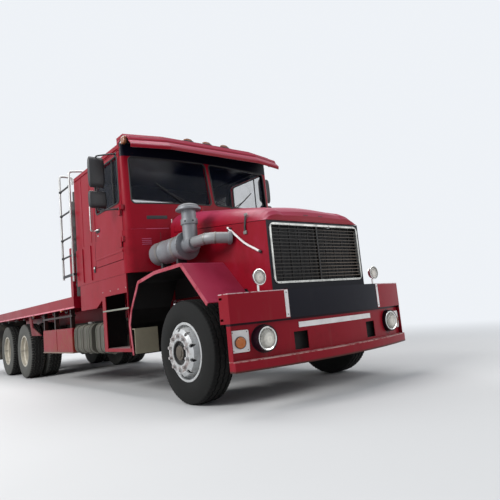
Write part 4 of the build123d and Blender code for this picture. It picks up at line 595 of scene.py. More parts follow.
def paints():
    """Makes every finish once and keeps it by name."""
    if PAINTS:
        return PAINTS
    c = tints()
    PAINTS.update(
        red=worn_red("faded_red"),
        bumper_red=worn_red("bumper_red", bumper_marks),
        fender_red=worn_red("fender_red", fender_marks),
        deck_red=worn_red("deck_red", deck_marks, rust=0.02),
        step_red=worn_red("step_red", step_marks, rust=0.02),
        rusty_red=worn_red("rusty_red", locker_marks, rust=0.05, low_dust=0.7),
        cab_red=worn_red("cab_red", cab_marks),
        door_red=worn_red("door_red", door_marks),
        nose_red=worn_red("nose_red", nose_marks),
        visor_red=worn_red("visor_red", visor_marks),
        rubber=tyre_rubber("front_tyre", 0.0, 0.07),
        dusty_rubber=tyre_rubber("rear_tyre", 0.25, 0.85),
        guard=guard_finish(),
        tank=plain_paint("tank_grey", c.tank, 0.55, 0.6, rust=0.02),
        pipe=plain_paint("pale_pipe", (0.27, 0.275, 0.28), 0.42, 0.3, 0.3),
        pocket=plain_paint("black_pocket", (0.004, 0.004, 0.004), 0.8, 0.0),
        trim=plain_paint("black_rubber", (0.011, 0.011, 0.012), 0.55, 0.25),
        plastic=plain_paint("black_plastic", (0.008, 0.008, 0.010), 0.42, 0.10),
        white=plain_paint("white_strip", c.white, 0.42, 0.25),
        # Near-black plates behind the bumper's holes: painted shade.
        faded_seam=plain_paint("faded_seam", c.faded, 0.45, 0.2),
        band=plain_paint("pale_band", (0.22, 0.23, 0.19), 0.5, 0.4),
        steel=plain_paint("bare_steel", (0.24, 0.23, 0.22), 0.38, 0.4, 0.7),
        bright=plain_paint("bright_rail", (0.46, 0.46, 0.45), 0.32, 0.1, 0.6),
        chassis=plain_paint("chassis_paint", c.chassis, 0.62, 1.0, rust=0.04),
        engine=plain_paint("engine_paint", (0.045, 0.045, 0.045), 0.6, 0.8, 0.3, rust=0.05),
        silencer=plain_paint("silencer_steel", (0.036, 0.032, 0.030), 0.55, 0.4, 0.4, rust=0.06),
        cleaner=plain_paint("cleaner_grey", c.cleaner, 0.40, 0.35, 0.35),
        dash=plain_paint("dash_plastic", (0.022, 0.022, 0.024), 0.6, 0.3),
        glass=tinted_glass(),
        mirror_glass=chrome(),
        chrome=chrome(),
        clear=lamp_glass(),
        amber=lens("amber_lens", c.amber, 0.92, 0.007),
        brown=lens("brown_lens", (0.24, 0.065, 0.012), 0.95, 0.007),
        tail=lens("red_lens", (0.42, 0.008, 0.010), 0.94, 0.009),
        grille=grille_metal(),
        deck=deck_plate(),
        cloth=seat_cloth(),
        front_wheel=wheel_paint("front_wheel_paint", c.silver, 1140, 0.117),
        rear_wheel_1=wheel_paint("rear_wheel_paint_1", c.cream, 7130, 0.110),
        rear_wheel_2=wheel_paint("rear_wheel_paint_2", c.cream, 8530, 0.110),
    )
    return PAINTS


def rows_of(rows, cols, close_rows, close_cols):
    """Corner numbers of a grid's quads, wrapping round where an edge is closed."""
    i = np.arange(rows if close_rows else rows - 1)[:, None]
    j = np.arange(cols if close_cols else cols - 1)[None, :]
    i2, j2 = (i + 1) % rows, (j + 1) % cols
    corners = [i * cols + j, i * cols + j2, i2 * cols + j2, i2 * cols + j]
    return np.stack(np.broadcast_arrays(*corners), -1).reshape(-1, 4)


class Shape:
    """Gathers grids of points into one mesh."""

    def __init__(self):
        self.points, self.quads, self.paints, self.reach, self.count = [], [], [], [], 0

    def grid(self, points, paint=0, close_rows=False, close_cols=True, reach=None):
        """Adds rows of points as quads of one paint; reach is a number kept on each point."""
        points = np.asarray(points, float)
        rows, cols = points.shape[:2]
        quads = rows_of(rows, cols, close_rows, close_cols) + self.count
        self.points.append(points.reshape(-1, 3))
        self.quads.append(quads)
        self.paints.append(np.full(len(quads), paint))
        self.reach.append(np.zeros(rows * cols) if reach is None else np.ravel(reach))
        self.count += rows * cols

    def mirrored(self):
        """Adds the same shape on the other side of the middle plane."""
        points, quads = np.concatenate(self.points), np.concatenate(self.quads)
        self.points.append(points * (-1, 1, 1))
        self.quads.append(quads[:, ::-1] + self.count)
        self.paints.append(np.concatenate(self.paints))
        self.reach.append(np.concatenate(self.reach))
        self.count *= 2

    def piece(self, name, body, slot, *finishes, sharp=35):
        """Makes the object: doubles merged, faces outwards, riding on its body.

        The finishes are named in the order of the grids' paint numbers.
        """
        points, quads = np.concatenate(self.points), np.concatenate(self.quads)
        mesh = bpy.data.meshes.new(name)
        mesh.from_pydata(points, [], quads)
        mesh.polygons.foreach_set("material_index", np.concatenate(self.paints).astype(np.int32))
        mesh.polygons.foreach_set("use_smooth", np.ones(len(quads), bool))
        reach = mesh.attributes.new("reach", "FLOAT", "POINT")
        reach.data.foreach_set("value", np.concatenate(self.reach).astype(np.float32))
        work = bmesh.new()
        work.from_mesh(mesh)
        bmesh.ops.remove_doubles(work, verts=work.verts, dist=2e-5)
        bmesh.ops.dissolve_degenerate(work, edges=work.edges, dist=1e-6)
        bmesh.ops.recalc_face_normals(work, faces=work.faces)
        work.to_mesh(mesh)
        work.free()
        mesh.set_sharp_from_angle(angle=math.radians(sharp))
        made = bpy.data.objects.new(name, mesh)
        bpy.context.scene.collection.objects.link(made)
        for finish in finishes:
            mesh.materials.append(paints()[finish])
        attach(made, body)
        return made


def placed(points, origin, x=LEFT, y=BACK, z=UP):
    """Local points carried to an origin and three axes."""
    return np.asarray(points) @ np.array([x, y, z], float) + np.array(origin, float)


def axes_of(direction):
    """Two unit vectors square to a direction, and the direction itself."""
    z = np.array(direction, float) / np.linalg.norm(direction)
    guide = np.array((0, 0, 1.0)) if abs(z[2]) < 0.9 else np.array((0, 1.0, 0))
    x = np.cross(guide, z)
    x /= np.linalg.norm(x)
    return x, np.cross(z, x), z


def lathe(shape, origin, direction, profile, paint=0, turns=48, closed=False):
    """Turned form: each profile row (height, radius) makes a circle round the direction."""
    rows = np.array(profile, float)
    angle = np.linspace(0, 2 * np.pi, turns, endpoint=False)
    h, r = rows[:, 0][:, None], rows[:, 1][:, None]
    local = np.stack([r * np.cos(angle), r * np.sin(angle), h + 0 * angle], -1)
    shape.grid(placed(local, origin, *axes_of(direction)), paint, close_rows=closed)


def collar(shape, origin, direction, half, low, high, paint, turns):
    """A flat ring, half wide each way and from the low radius to the high one, round an axis."""
    profile = [(-half, low), (-half, high), (half, high), (half, low)]
    lathe(shape, origin, direction, profile, paint, turns, True)


def dome(radius, rise, depth, rows=6):
    """Profile of a dome: a flat back, a short wall and a front that follows a quarter ellipse."""
    t = np.linspace(0, np.pi / 2, rows)
    front = [(depth + rise * float(np.sin(v)), radius * float(np.cos(v))) for v in t]
    return [(0.0, 0.0), (0.0, radius)] + front


def bolt(shape, origin, direction, radius, paint=0, rise=0.7):
    """A domed bolt head or rivet."""
    profile = dome(radius, rise * radius, 0.0, 4)
    # A head has no wall, so its third row is the same as its second and is left out
    lathe(shape, origin, direction, profile[:2] + profile[3:], paint, turns=8)


def spaced(count, first=0.0):
    """Cosines and sines of angles spaced evenly round a circle, from a share of a step on."""
    angles = [2 * math.pi * (number + first) / count for number in range(count)]
    return [(math.cos(a), math.sin(a)) for a in angles]


def raised(start, wide, low, high):
    """Profile of a raised band, with a slope of 4 mm at each end."""
    return [(start, low), (start + 0.004, high), (start + wide, high), (start + wide + 0.004, low)]


def rounded(corners, bend, steps=7):
    """A line through corners, each replaced by steps on a curve that starts a bend before it."""
    p = np.array(corners, float)
    before = p[1:-1] - p[:-2]
    after = p[2:] - p[1:-1]
    lb = np.linalg.norm(before, axis=1, keepdims=True)
    la = np.linalg.norm(after, axis=1, keepdims=True)
    cut = np.minimum(bend, 0.48 * np.minimum(lb, la))
    start, end = p[1:-1] - before / lb * cut, p[1:-1] + after / la * cut
    t = np.linspace(0, 1, steps)[None, :, None]
    curve = (1 - t) ** 2 * start[:, None] + 2 * t * (1 - t) * p[1:-1, None] + t ** 2 * end[:, None]
    return np.concatenate([p[:1], curve.reshape(-1, 3), p[-1:]])


def carried(shape, path, section, paint=0, closed=False, guide=UP):
    """A flat section, points (a, b), carried along a path: a is across it, b towards the guide.

    The ends of an open path are closed with a point at their middle.
    """
    p = np.array(path, float)
    ahead = np.roll(p, -1, 0) - np.roll(p, 1, 0) if closed else np.gradient(p, axis=0)
    ahead /= np.linalg.norm(ahead, axis=1, keepdims=True)
    side = np.cross(ahead, np.broadcast_to(np.array(guide, float), p.shape))
    side /= np.maximum(np.linalg.norm(side, axis=1, keepdims=True), 1e-9)
    top = np.cross(side, ahead)
    s = np.array(section, float)
    rows = p[:, None] + (side[:, None] * s[:, 0, None] + top[:, None] * s[:, 1, None])
    if not closed:
        ends = [np.repeat(row.mean(0)[None], len(s), 0)[None] for row in (rows[0], rows[-1])]
        rows = np.concatenate([ends[0], rows, ends[1]])
    shape.grid(rows, paint, close_rows=closed)


def bar(shape, path, size, paint=0, guide=UP, closed=False):
    """A bar of rounded rectangular section along a path; size is (across, up, corner)."""
    carried(shape, path, square(*size), paint, closed, guide)


def ring(radius, sides=12):
    """Section of a round bar."""
    angle = np.linspace(0, 2 * np.pi, sides, endpoint=False)
    return np.stack([radius * np.cos(angle), radius * np.sin(angle)], -1)


def square(width, height, corner, steps=3):
    """Outline of a rounded rectangle about the origin."""
    corner = min(corner, 0.499 * width, 0.499 * height)
    angle = np.linspace(0, np.pi / 2, steps)
    arcs = []
    for turn, (sx, sy) in enumerate(((1, 1), (-1, 1), (-1, -1), (1, -1))):
        a = angle + turn * np.pi / 2
        arcs.append(np.stack([sx * (width / 2 - corner) + corner * np.cos(a),
                              sy * (height / 2 - corner) + corner * np.sin(a)], -1))
    return np.concatenate(arcs)


def tube(shape, corners, radius, bend=0.03, paint=0, sides=12):
    """A round bar along rounded corners."""
    path = rounded(corners, bend) if len(corners) > 2 else np.array(corners, float)
    flow = path[-1] - path[0]
    guide = UP if abs(flow[2]) < 0.8 * np.linalg.norm(flow) else (0.3, 1, 0.05)
    carried(shape, path, ring(radius, sides), paint, guide=guide)


def pad(shape, origin, facing, size, paint=0, corner=0.01, edge=0.003):
    """A rounded plate: facing is its two axes, size is (along each axis, thickness).

    Each row is the same outline, drawn in towards the middle as it climbs the softened edge. The
    front is closed by the last outline, shrunk in three steps to its middle.
    """
    x, y = np.array(facing, float)
    wide, tall, thick = size
    edge = min(edge, thick * 0.9)
    steps = 4
    loops = [np.zeros((4 * steps, 3))]
    for inset, height in ((0.0, 0.0), (0.0, thick - edge), (edge * 0.3, thick - edge * 0.3),
                          (edge, thick)):
        outline = square(wide - 2 * inset, tall - 2 * inset, max(corner - inset, 0.0005), steps)
        loops.append(np.column_stack([outline, np.full(len(outline), height)]))
    loops += [loops[-1] * (share, share, 1) for share in (0.75, 0.45, 0.0)]
    shape.grid(placed(np.array(loops), origin, x, y, np.cross(x, y)), paint)


def cushion(shape, origin, facing, size, crown):
    """A stuffed form: a rounded box whose faces swell and whose sides pull in between corners."""
    cells = 30
    a = np.linspace(-np.pi / 2, np.pi / 2, cells)[:, None]
    b = np.linspace(-np.pi, np.pi, 2 * cells, endpoint=False)[None, :]

    def power(value, share):
        return np.sign(value) * np.abs(value) ** share

    px = power(np.cos(a), 0.35) * power(np.cos(b), 0.35)
    py = power(np.cos(a), 0.35) * power(np.sin(b), 0.35)
    pz = power(np.sin(a), 0.55) + 0 * b
    pull = 1 - 0.035 * (1 - np.abs(px) ** 2) * (1 - np.abs(py) ** 2) * (1 - np.abs(pz))
    pz = pz * (1 + crown * (1 - px ** 2) * (1 - py ** 2))
    local = np.stack([px * size[0] / 2 * pull, py * size[1] / 2 * pull, pz * size[2] / 2], -1)
    x, y = facing
    shape.grid(placed(local, origin, x, y, np.cross(x, y)))


def bow(x, front):
    """Y of the bumper's bowed face at x, for a face set back by front millimetres."""
    return along(front) + BUMPER_RADIUS - np.sqrt(BUMPER_RADIUS ** 2 - np.asarray(x) ** 2)


def bumper_axes(x):
    """Across, up and outward directions of the bowed face at x, each as an array."""
    lean = x / BUMPER_RADIUS
    ahead = math.sqrt(1 - lean * lean)
    return np.array([(ahead, lean, 0), UP, (lean, -ahead, 0)])


def cab_face(x, z):
    """Y of the cab's raked, bowed front: two arcs in plan, blended straight up."""
    def arc(nose, corner):
        d = (corner - nose) / 1000
        r = (1.205 ** 2 + d * d) / (2 * d)
        return along(nose) + r - np.sqrt(r * r - np.asarray(x) ** 2)

    share = (np.asarray(z) - 2.0) / 1.11
    return (1 - share) * arc(1975, 2230) + share * arc(2155, 2250)


def on_cab(side, limits, z, out):
    """Points across the cab's bowed front at one height, out metres in front of the upper face."""
    x = np.linspace(limits[0], limits[1], 7)
    y0 = cab_face(x, max(z, 2.0)) - out
    return np.stack([side * x, y0, np.full(7, z)], -1)


def up_cab(side, x, low, high, out):
    """Two points one above the other in front of the cab's bowed front."""
    return [on_cab(side, (x, x), z, out)[0] for z in (low, high)]


class TRUCK_OT_node_finishes(bpy.types.Operator):
    """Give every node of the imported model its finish."""

    bl_idname = "truck.node_finishes"
    bl_label = "Finishes"

    def execute(self, context):
        table = {
            "red": "hood_lid headboard",
            "nose_red": "nose",
            "visor_red": "visor",
            "cab_red": "cab_front cab_sides cab_rear cab_roof",
            "door_red": "door_left door_right",
            "bumper_red": "bumper",
            "fender_red": "fenders",
            "deck_red": "deck_frame",
            "step_red": "cab_steps",
            "rusty_red": "lockers",
            "tank": "fuel_tanks",
            "glass": "cab_glass door_glass_left door_glass_right",
            "chassis": "frame front_axle rear_axles knuckle_left knuckle_right cab_floor",
            "engine": "engine",
            "grille": "grille",
            "deck": "deck_floor",
            "plastic": "mirror_left mirror_right",
            "dash": "dash",
            "cloth": "seats",
            "bright": "ladder",
            "silencer": "silencer",
            "cleaner": "air_cleaner",
            "guard": "mudguards",
            "clear": "clear_lamps",
            "amber": "amber_lamps",
            "tail": "tail_lamps",
            "rubber": " ".join(name for name in NODES if name.startswith("tyre_")),
            "front_wheel": "rim_front_left rim_front_right",
            "rear_wheel_1": "rim_rear_1_left rim_rear_1_right",
            "rear_wheel_2": "rim_rear_2_left rim_rear_2_right",
        }
        for paint, names in table.items():
            for name in names.split():
                mesh = NODES[name].data
                mesh.materials.clear()
                mesh.materials.append(paints()[paint])
        return {"FINISHED"}


def tyre_surface(shape, centre, station, side, lugs):
    """One tyre: a closed cross-section turned about the axle, with the tread cut into it.

    Across the tread the radius drops by the groove depth; the grooves wander in a zigzag, and the
    shoulders are cut by cross slots, deeper and fewer on a driving tyre.
    """
    depth, width = sizes().tread_depth, sizes().groove_width
    middles = (-0.06, 0.0, 0.06)
    half_tread, half = 0.104, width / 2
    tread = [-half_tread, -0.085, -0.03, 0.03, 0.085, half_tread]
    for middle in middles:
        tread += [middle - half - 0.003, middle - half, middle + half, middle + half + 0.003]
    tread = np.array(sorted(tread))
    wall_x = [0.108, 0.117, 0.124, 0.133, 0.1392, 0.1388, 0.131, 0.119, 0.108, 0.104]
    wall_r = [0.519, 0.511, 0.490, 0.455, 0.412, 0.375, 0.333, 0.305, 0.2975, 0.2875]
    x = np.concatenate([tread, wall_x, [0.06, 0.0, -0.06], -np.array(wall_x[::-1])])
    flat = 0.5246 - 0.0045 * (tread / half_tread) ** 2
    r = np.concatenate([flat, wall_r, [0.2875] * 3, wall_r[::-1]])
    angle = np.linspace(0, 2 * np.pi, 320, endpoint=False)[:, None]
    on_tread = np.concatenate([np.ones(len(tread)), np.zeros(len(x) - len(tread))])
    in_groove = np.zeros(len(x))
    for middle in middles:
        in_groove += (np.abs(x - middle) < half + 0.001) * on_tread
    zigzag = 0.006 * (2 / np.pi) * np.arcsin(np.sin(angle * 40))
    px = x + zigzag * on_tread * (np.abs(x) < 0.09)
    slots, cut, shoulder_x = (64, 0.75, 0.07) if lugs else (80, 0.35, 0.095)
    shoulder = on_tread * (np.abs(x) > shoulder_x) * (np.abs(x) < 0.2)
    shoulder[len(tread)] = shoulder[len(tread) + 1] = 1
    shoulder[-1] = shoulder[-2] = 1
    slot = (np.mod(angle * slots / (2 * np.pi), 1) < 0.3) * cut
    pr = r - depth * in_groove + 0 * angle - depth * slot * shoulder
    points = np.stack([side * (centre + px), along(station) + pr * np.cos(angle),
                       HUB_Z + pr * np.sin(angle)], -1)
    shape.grid(points, 0, close_rows=True, reach=pr)


class TRUCK_OT_tyres(bpy.types.Operator):
    """Tyres with zigzag grooves and shoulder slots."""

    bl_idname = "truck.tyres"
    bl_label = "Tyres"

    def execute(self, context):
        for word, side in SIDES:
            for name, station, centres, _ in WHEELS:
                shape = Shape()
                for centre in centres:
                    tyre_surface(shape, centre, station, side, len(centres) > 1)
                node = f"tyre_{name}_{word}"
                rubber = "rubber" if name == "front" else "dusty_rubber"
                made = shape.piece(f"treaded_{node}", f"wheel_{name}_{word}", "tyre", rubber,
                                   sharp=28)
                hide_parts(node)
        return {"FINISHED"}


class TRUCK_OT_wheel_hubs(bpy.types.Operator):
    """Hub covers, bolts, bead rings and valves."""

    bl_idname = "truck.wheel_hubs"
    bl_label = "Wheel hubs"

    def execute(self, context):
        cover = [(-0.012, 0.0), (-0.012, 0.118), (-0.003, 0.121), (0.004, 0.117),
                 (0.006, 0.086), (0.014, 0.080), (0.017, 0.060), (0.018, 0.0)]
        bead = [(-0.003, 0.2905), (0.0, 0.2965), (-0.003, 0.2995), (-0.012, 0.2992),
                (-0.012, 0.2905)]
        valve_y = 0.262
        for word, side in SIDES:
            for name, station, centres, disc in WHEELS:
                shape, out = Shape(), (side, 0, 0)
                # The front hub's cap is small and sunk in the disc; the rear one stands out
                hub, grow = (disc - 0.008, 0.61) if name == "front" else (disc + 0.095, 1.0)
                y0 = along(station)
                turned = [(height, radius * grow) for height, radius in cover]
                lathe(shape, (side * hub, y0, HUB_Z), out, turned, 0)
                r = 0.101 * grow
                for cos, sin in spaced(10, 0.5):
                    bolt(shape, (side * (hub + 0.003), y0 + r * cos, HUB_Z + r * sin), out,
                         0.0085 * grow, 1)
                face = centres[-1] + 0.105 + 0.012
                lathe(shape, (side * face, y0, HUB_Z), out, bead, 2, turns=96, closed=True)
                valve = [(side * (face + x), y0 + valve_y + y, HUB_Z)
                         for x, y in ((-0.07, 0.0), (-0.02, -0.006), (0.004, -0.014))]
                tube(shape, valve, 0.005, 0.02, 1, 8)
                shape.piece(f"hub_{name}_{word}", f"wheel_{name}_{word}", "chassis_paint",
                            "chassis", "steel", "bright" if name == "front" else "white")
        return {"FINISHED"}


class TRUCK_OT_front_lamps(bpy.types.Operator):
    """Headlamps, round lamps, indicators and their plates."""

    bl_idname = "truck.front_lamps"
    bl_label = "Front lamps"

    def execute(self, context):
        glassy, metal, plates = Shape(), Shape(), Shape()
        share = np.linspace(0, 1, 8)
        bowl = [(0.002 + 0.084 * v * v, 0.016 + 0.074 * v) for v in share]
        bowl += [(0.082 * v * v, 0.018 + 0.076 * v) for v in share[::-1]]
        bulb = [(0.0, 0.0), (0.0, 0.017), (0.03, 0.012), (0.045, 0.009), (0.05, 0.0)]
        rim = [(0.0, 0.0895), (0.0, 0.1035), (0.010, 0.1045), (0.014, 0.099), (0.010, 0.0895)]
        shell = [(-0.028, 0.0), (-0.026, 0.035), (-0.014, 0.060), (0.010, 0.073), (0.024, 0.0755),
                 (0.029, 0.0755), (0.0295, 0.069), (0.018, 0.067), (0.0, 0.040), (-0.004, 0.0)]
        base = [(0.0, 0.0), (0.0, 0.054), (0.006, 0.054), (0.007, 0.049), (0.007, 0.0)]
        plate_x = 1.15
        for side in (-1, 1):
            x, station, z = HEADLAMP
            centre, behind = point(side * x, station + 8, z), point(side * x, station + 98, z)
            lathe(glassy, centre, AHEAD, dome(0.0905, 0.034, 0.004), 0, 56)
            lathe(metal, behind, AHEAD, bowl, 0, 56, closed=True)
            lathe(metal, behind, AHEAD, bulb, 1)
            lathe(metal, centre, AHEAD, rim, 0, 56, closed=True)
            x, station, z = ROUND_LAMP
            lathe(metal, point(side * x, station, z), AHEAD, shell, 0, 48)
            glass, foot = station - 15, station + 8
            lathe(glassy, point(side * x, glass, z), AHEAD, dome(0.0675, 0.012, 0.002), 0, 48)
            tube(metal, route(side, (x, foot, 1.035), (x, foot, 1.105)), 0.010, 0.01, 0, 10)
            across, up, out = bumper_axes(side * plate_x)
            middle = np.array((side * plate_x, float(bow(plate_x, 65)), 0.62)) + out * 0.008
            pad(plates, middle, (across, up), (0.170, 0.190, 0.0022), 0, 0.014, 0.001)
            for a in (-1, 1):
                for b in (-1, 1):
                    screw = middle + across * 0.068 * a + up * 0.078 * b + out * 0.002
                    bolt(plates, screw, out, 0.0065, 1, 0.5)
            seat = middle + np.array((0, 0, -0.012)) + out * 0.002
            lathe(plates, seat, out, base, 2)
            lathe(plates, seat + out * 0.004, out, dome(0.0485, 0.009, 0.003), 3, 40)
        lamp = glassy.piece("lamp_lenses", "chassis", "lamp_clear", "clear")
        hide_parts("clear_lamps")
        metal.piece("lamp_shells", "chassis", "grille_metal", "chrome", "white")
        plates.piece("indicator_plates", "chassis", "lamp_amber", "white", "steel", "trim", "amber")
        return {"FINISHED"}


def bumper_strip(shape, limits, low_z, high_z, front, thick):
    """A strip that follows the bow: its outline closed round a small thickness."""
    x = np.linspace(*limits, 33)[None, :]
    z = np.array([low_z, low_z, high_z, high_z])[:, None]
    out = np.array([0.001, -thick, -thick, 0.001])[:, None]
    rows = np.stack([x + 0 * z, bow(x, front) + out, z + 0 * x], -1)
    ends = [np.repeat(rows[:, i].mean(0)[None], 4, 0)[:, None] for i in (0, -1)]
    shape.grid(np.concatenate([ends[0], rows, ends[1]], 1), 0, True, False)


class TRUCK_OT_bumper_trim(bpy.types.Operator):
    """Blank plate strip, upright white strips with screws, side marks, and black plates behind the
    square holes as painted shade.
    """

    bl_idname = "truck.bumper_trim"
    bl_label = "Bumper trim"

    def execute(self, context):
        shape = Shape()
        bumper_strip(shape, (-0.537, 0.537), 0.680, 0.730, 65, 0.004)
        for side in (-1, 1):
            bumper_strip(shape, sorted((side * 0.662, side * 0.700)), 0.786, 1.036, 20, 0.003)
            for z in (0.998, 0.812):
                pad(shape, point(side * 1.2497, 315, z), outer(side), (0.046, 0.020, 0.0003), 1,
                    0.008, 0.0001)
            # Painted shade: a black plate behind each square hole of the bumper stands in for the
            # dark inside of the hole.
            pad(shape, point(side * 0.52, 165, 0.585), FRONT, (0.32, 0.27, 0.005), 3)
            for z in (0.81, 1.01):
                bolt(shape, (side * 0.68, float(bow(0.68, 17)), z), AHEAD, 0.007, 2)
        shape.piece("bumper_strips", "chassis", "red_paint", "white", "amber", "steel", "pocket")
        return {"FINISHED"}


class TRUCK_OT_grille_back(bpy.types.Operator):
    """Upright bars and a dark plate behind the slats, and the frame's screws."""

    bl_idname = "truck.grille_back"
    bl_label = "Grille back"

    def execute(self, context):
        shape = Shape()
        for x in np.linspace(-0.60, 0.60, 13):
            bar(shape, route(1, (x, 258, 1.13), (x, 258, 1.68)), (0.003, 0.006, 0.001), 1,
                guide=BACK)
        pad(shape, point(0, 300, 1.404), FRONT, (1.28, 0.56, 0.012), 1, 0.03)
        for x in np.linspace(-0.58, 0.58, 7):
            for z in (1.116, 1.692):
                bolt(shape, point(x, 228, z), AHEAD, 0.005, 2)
        shape.piece("grille_mesh", "chassis", "grille_metal", "steel", "trim", "steel")
        return {"FINISHED"}


class TRUCK_OT_hood_fittings(bpy.types.Operator):
    """Bent stay bars, rubber straps with their catches, and two small vents on the lid."""

    bl_idname = "truck.hood_fittings"
    bl_label = "Hood fittings"

    def execute(self, context):
        body, lid = Shape(), Shape()
        for side in (-1, 1):
            tube(body, route(side, (0.700, 840, 1.765), (0.704, 574, 1.552), (0.700, 364, 1.441)),
                 0.0115, 0.08, 0, 10)
            lathe(body, point(side * 0.700, 364, 1.441), (0, -0.88, -0.47),
                  [(0.0, 0.0), (0.0, 0.014), (0.03, 0.014), (0.035, 0.0)], 1, 12)
            for station, z, size, paint in ((810, 1.742, (0.05, 0.03, 0.02), 1),
                                            (574, 1.548, (0.03, 0.026, 0.02), 1),
                                            (555, 1.660, (0.05, 0.034, 0.016), 2)):
                pad(body, point(side * 0.690, station, z), outer(side), size, paint, 0.006)
            strap = route(side, (0.688, 537, 1.840), (0.694, 543, 1.79), (0.7005, 552, 1.72),
                          (0.7005, 555, 1.672))
            carried(lid, strap, square(sizes().strap, 0.008, 0.003), 0, guide=(side, 0, 0))
            pad(lid, point(side * 0.679, 537, 1.842), outer(side), (0.044, 0.028, 0.016), 1, 0.006)
        for x in (-0.11, 0.11):
            pad(lid, point(x, 262, 1.800), (LEFT, (0, 0.4, 0.92)), (0.07, 0.010, 0.006), 0, 0.004)
        body.piece("hood_side_fittings", "chassis", "grille_metal", "white", "trim", "steel")
        lid.piece("hood_straps", "hood_lid", "black_plastic", "trim", "steel")
        return {"FINISHED"}


class TRUCK_OT_air_cleaner(bpy.types.Operator):
    """Cleaner body, flange, neck with its cap, and outlet pipe."""

    bl_idname = "truck.air_cleaner"
    bl_label = "Air cleaner"

    def execute(self, context):
        shape = Shape()
        x0, z0, neck_y = -0.900, 1.655, along(1262)
        curve = np.linspace(0, np.pi / 2, 8)
        end = [(0.675 - 0.07 + 0.07 * float(np.sin(v)), 0.07 + 0.0695 * float(np.cos(v)))
               for v in curve]
        body = [(0.0, 0.0), (0.0, 0.139)]
        for rib in (0.17, 0.42):
            body += raised(rib, 0.018, 0.1375, 0.1398)
        body += [(0.60, 0.1385)] + end[1:] + [(0.677, 0.0)]
        flange = [(0.0, 0.0), (0.0, 0.158), (0.003, 0.160), (0.012, 0.160), (0.0145, 0.157),
                  (0.0165, 0.157), (0.019, 0.160), (0.030, 0.160), (0.033, 0.157), (0.034, 0.0)]
        nozzle = [(0.0, 0.0), (0.0, 0.078), (0.012, 0.089), (0.07, 0.0895), (0.14, 0.0895),
                  (0.145, 0.092), (0.145, 0.0)]
        for station, profile in ((1362, body), (1330, flange), (1187, nozzle)):
            lathe(shape, point(x0, station, z0), BACK, profile, 0, 56)
        for cos, sin in spaced(14):
            bolt(shape, point(x0 + 0.147 * cos, 1330, z0 + 0.147 * sin), AHEAD, 0.008, 1)

        neck = [(1.655, 0.0), (1.655, 0.088), (1.72, 0.082), (1.872, 0.081), (1.875, 0.0925),
                (1.881, 0.094), (1.929, 0.094), (1.935, 0.0925), (1.938, 0.081), (2.035, 0.081),
                (2.035, 0.0)]
        cap = [(2.030, 0.0), (2.030, 0.128), (2.035, 0.139), (2.046, 0.140), (2.056, 0.137),
               (2.064, 0.120), (2.070, 0.114), (2.082, 0.113), (2.092, 0.104), (2.104, 0.072),
               (2.112, 0.036), (2.1148, 0.0)]
        lathe(shape, (x0, neck_y, 0), UP, neck, 0, 48)
        lathe(shape, (x0, neck_y, 0), UP, cap, 0, 56)
        for cos, sin in spaced(28):
            bolt(shape, (x0 + 0.1135 * cos, neck_y + 0.1135 * sin, 2.076), (cos, sin, 0), 0.004, 1)
        for a in (3.65, 4.60):
            cos, sin = math.cos(a), math.sin(a)
            bolt(shape, (x0 + 0.0935 * cos, neck_y + 0.0935 * sin, 1.905), (cos, sin, 0), 0.011, 2,
                 0.25)

        corners = route(1, (x0, 1205, 1.670), (x0, 905, 1.666), (-0.692, 790, 1.650))
        pipe = rounded(corners, 0.19, 14)
        carried(shape, pipe, ring(0.0592, 28), 3)
        clip = [(-0.010, 0.058), (-0.010, 0.062), (-0.004, 0.064), (0.004, 0.064), (0.010, 0.062),
                (0.010, 0.058)]
        for share in (0.30, 0.74):
            i = int(share * (len(pipe) - 1))
            lathe(shape, pipe[i], pipe[i + 1] - pipe[i], clip, 1, 32, True)
        flow = pipe[-1] - pipe[-2]
        mouth = [(-0.02, 0.058), (-0.02, 0.070), (-0.006, 0.072), (0.010, 0.072), (0.012, 0.058)]
        lathe(shape, pipe[-1] - 0.02 * flow / np.linalg.norm(flow), flow, mouth, 0, 32, True)
        for station, fender_top in ((1485, 1.4065), (1840, 1.3595)):
            collar(shape, point(x0, station, z0), BACK, 0.022, 0.1385, 0.1399, 1, 56)
            pad(shape, point(x0, station, fender_top), TOP, (0.12, 0.04, 1.535 - fender_top), 2,
                0.006)
        made = shape.piece("air_cleaner_body", "chassis", "cleaner_grey", "cleaner",
                           "steel", "trim", "pipe")
        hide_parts("air_cleaner")
        return {"FINISHED"}


def pane_loop(side):
    """Outline of one windscreen pane on the cab's bowed front, with six points on each step."""
    low_x, high_x = sorted((side * 0.028, side * 1.11))
    low_z, high_z = 2.33, 2.94
    loop = square(high_x - low_x, high_z - low_z, 0.055, 7)
    x, z = loop[:, 0] + (low_x + high_x) / 2, loop[:, 1] + (low_z + high_z) / 2
    fine = 6
    t, whole = np.arange(len(x) * fine) / fine, np.arange(len(x) + 1)
    x, z = np.interp(t, whole, np.append(x, x[0])), np.interp(t, whole, np.append(z, z[0]))
    return np.stack([x, cab_face(x, z) + 0.004, z], -1)


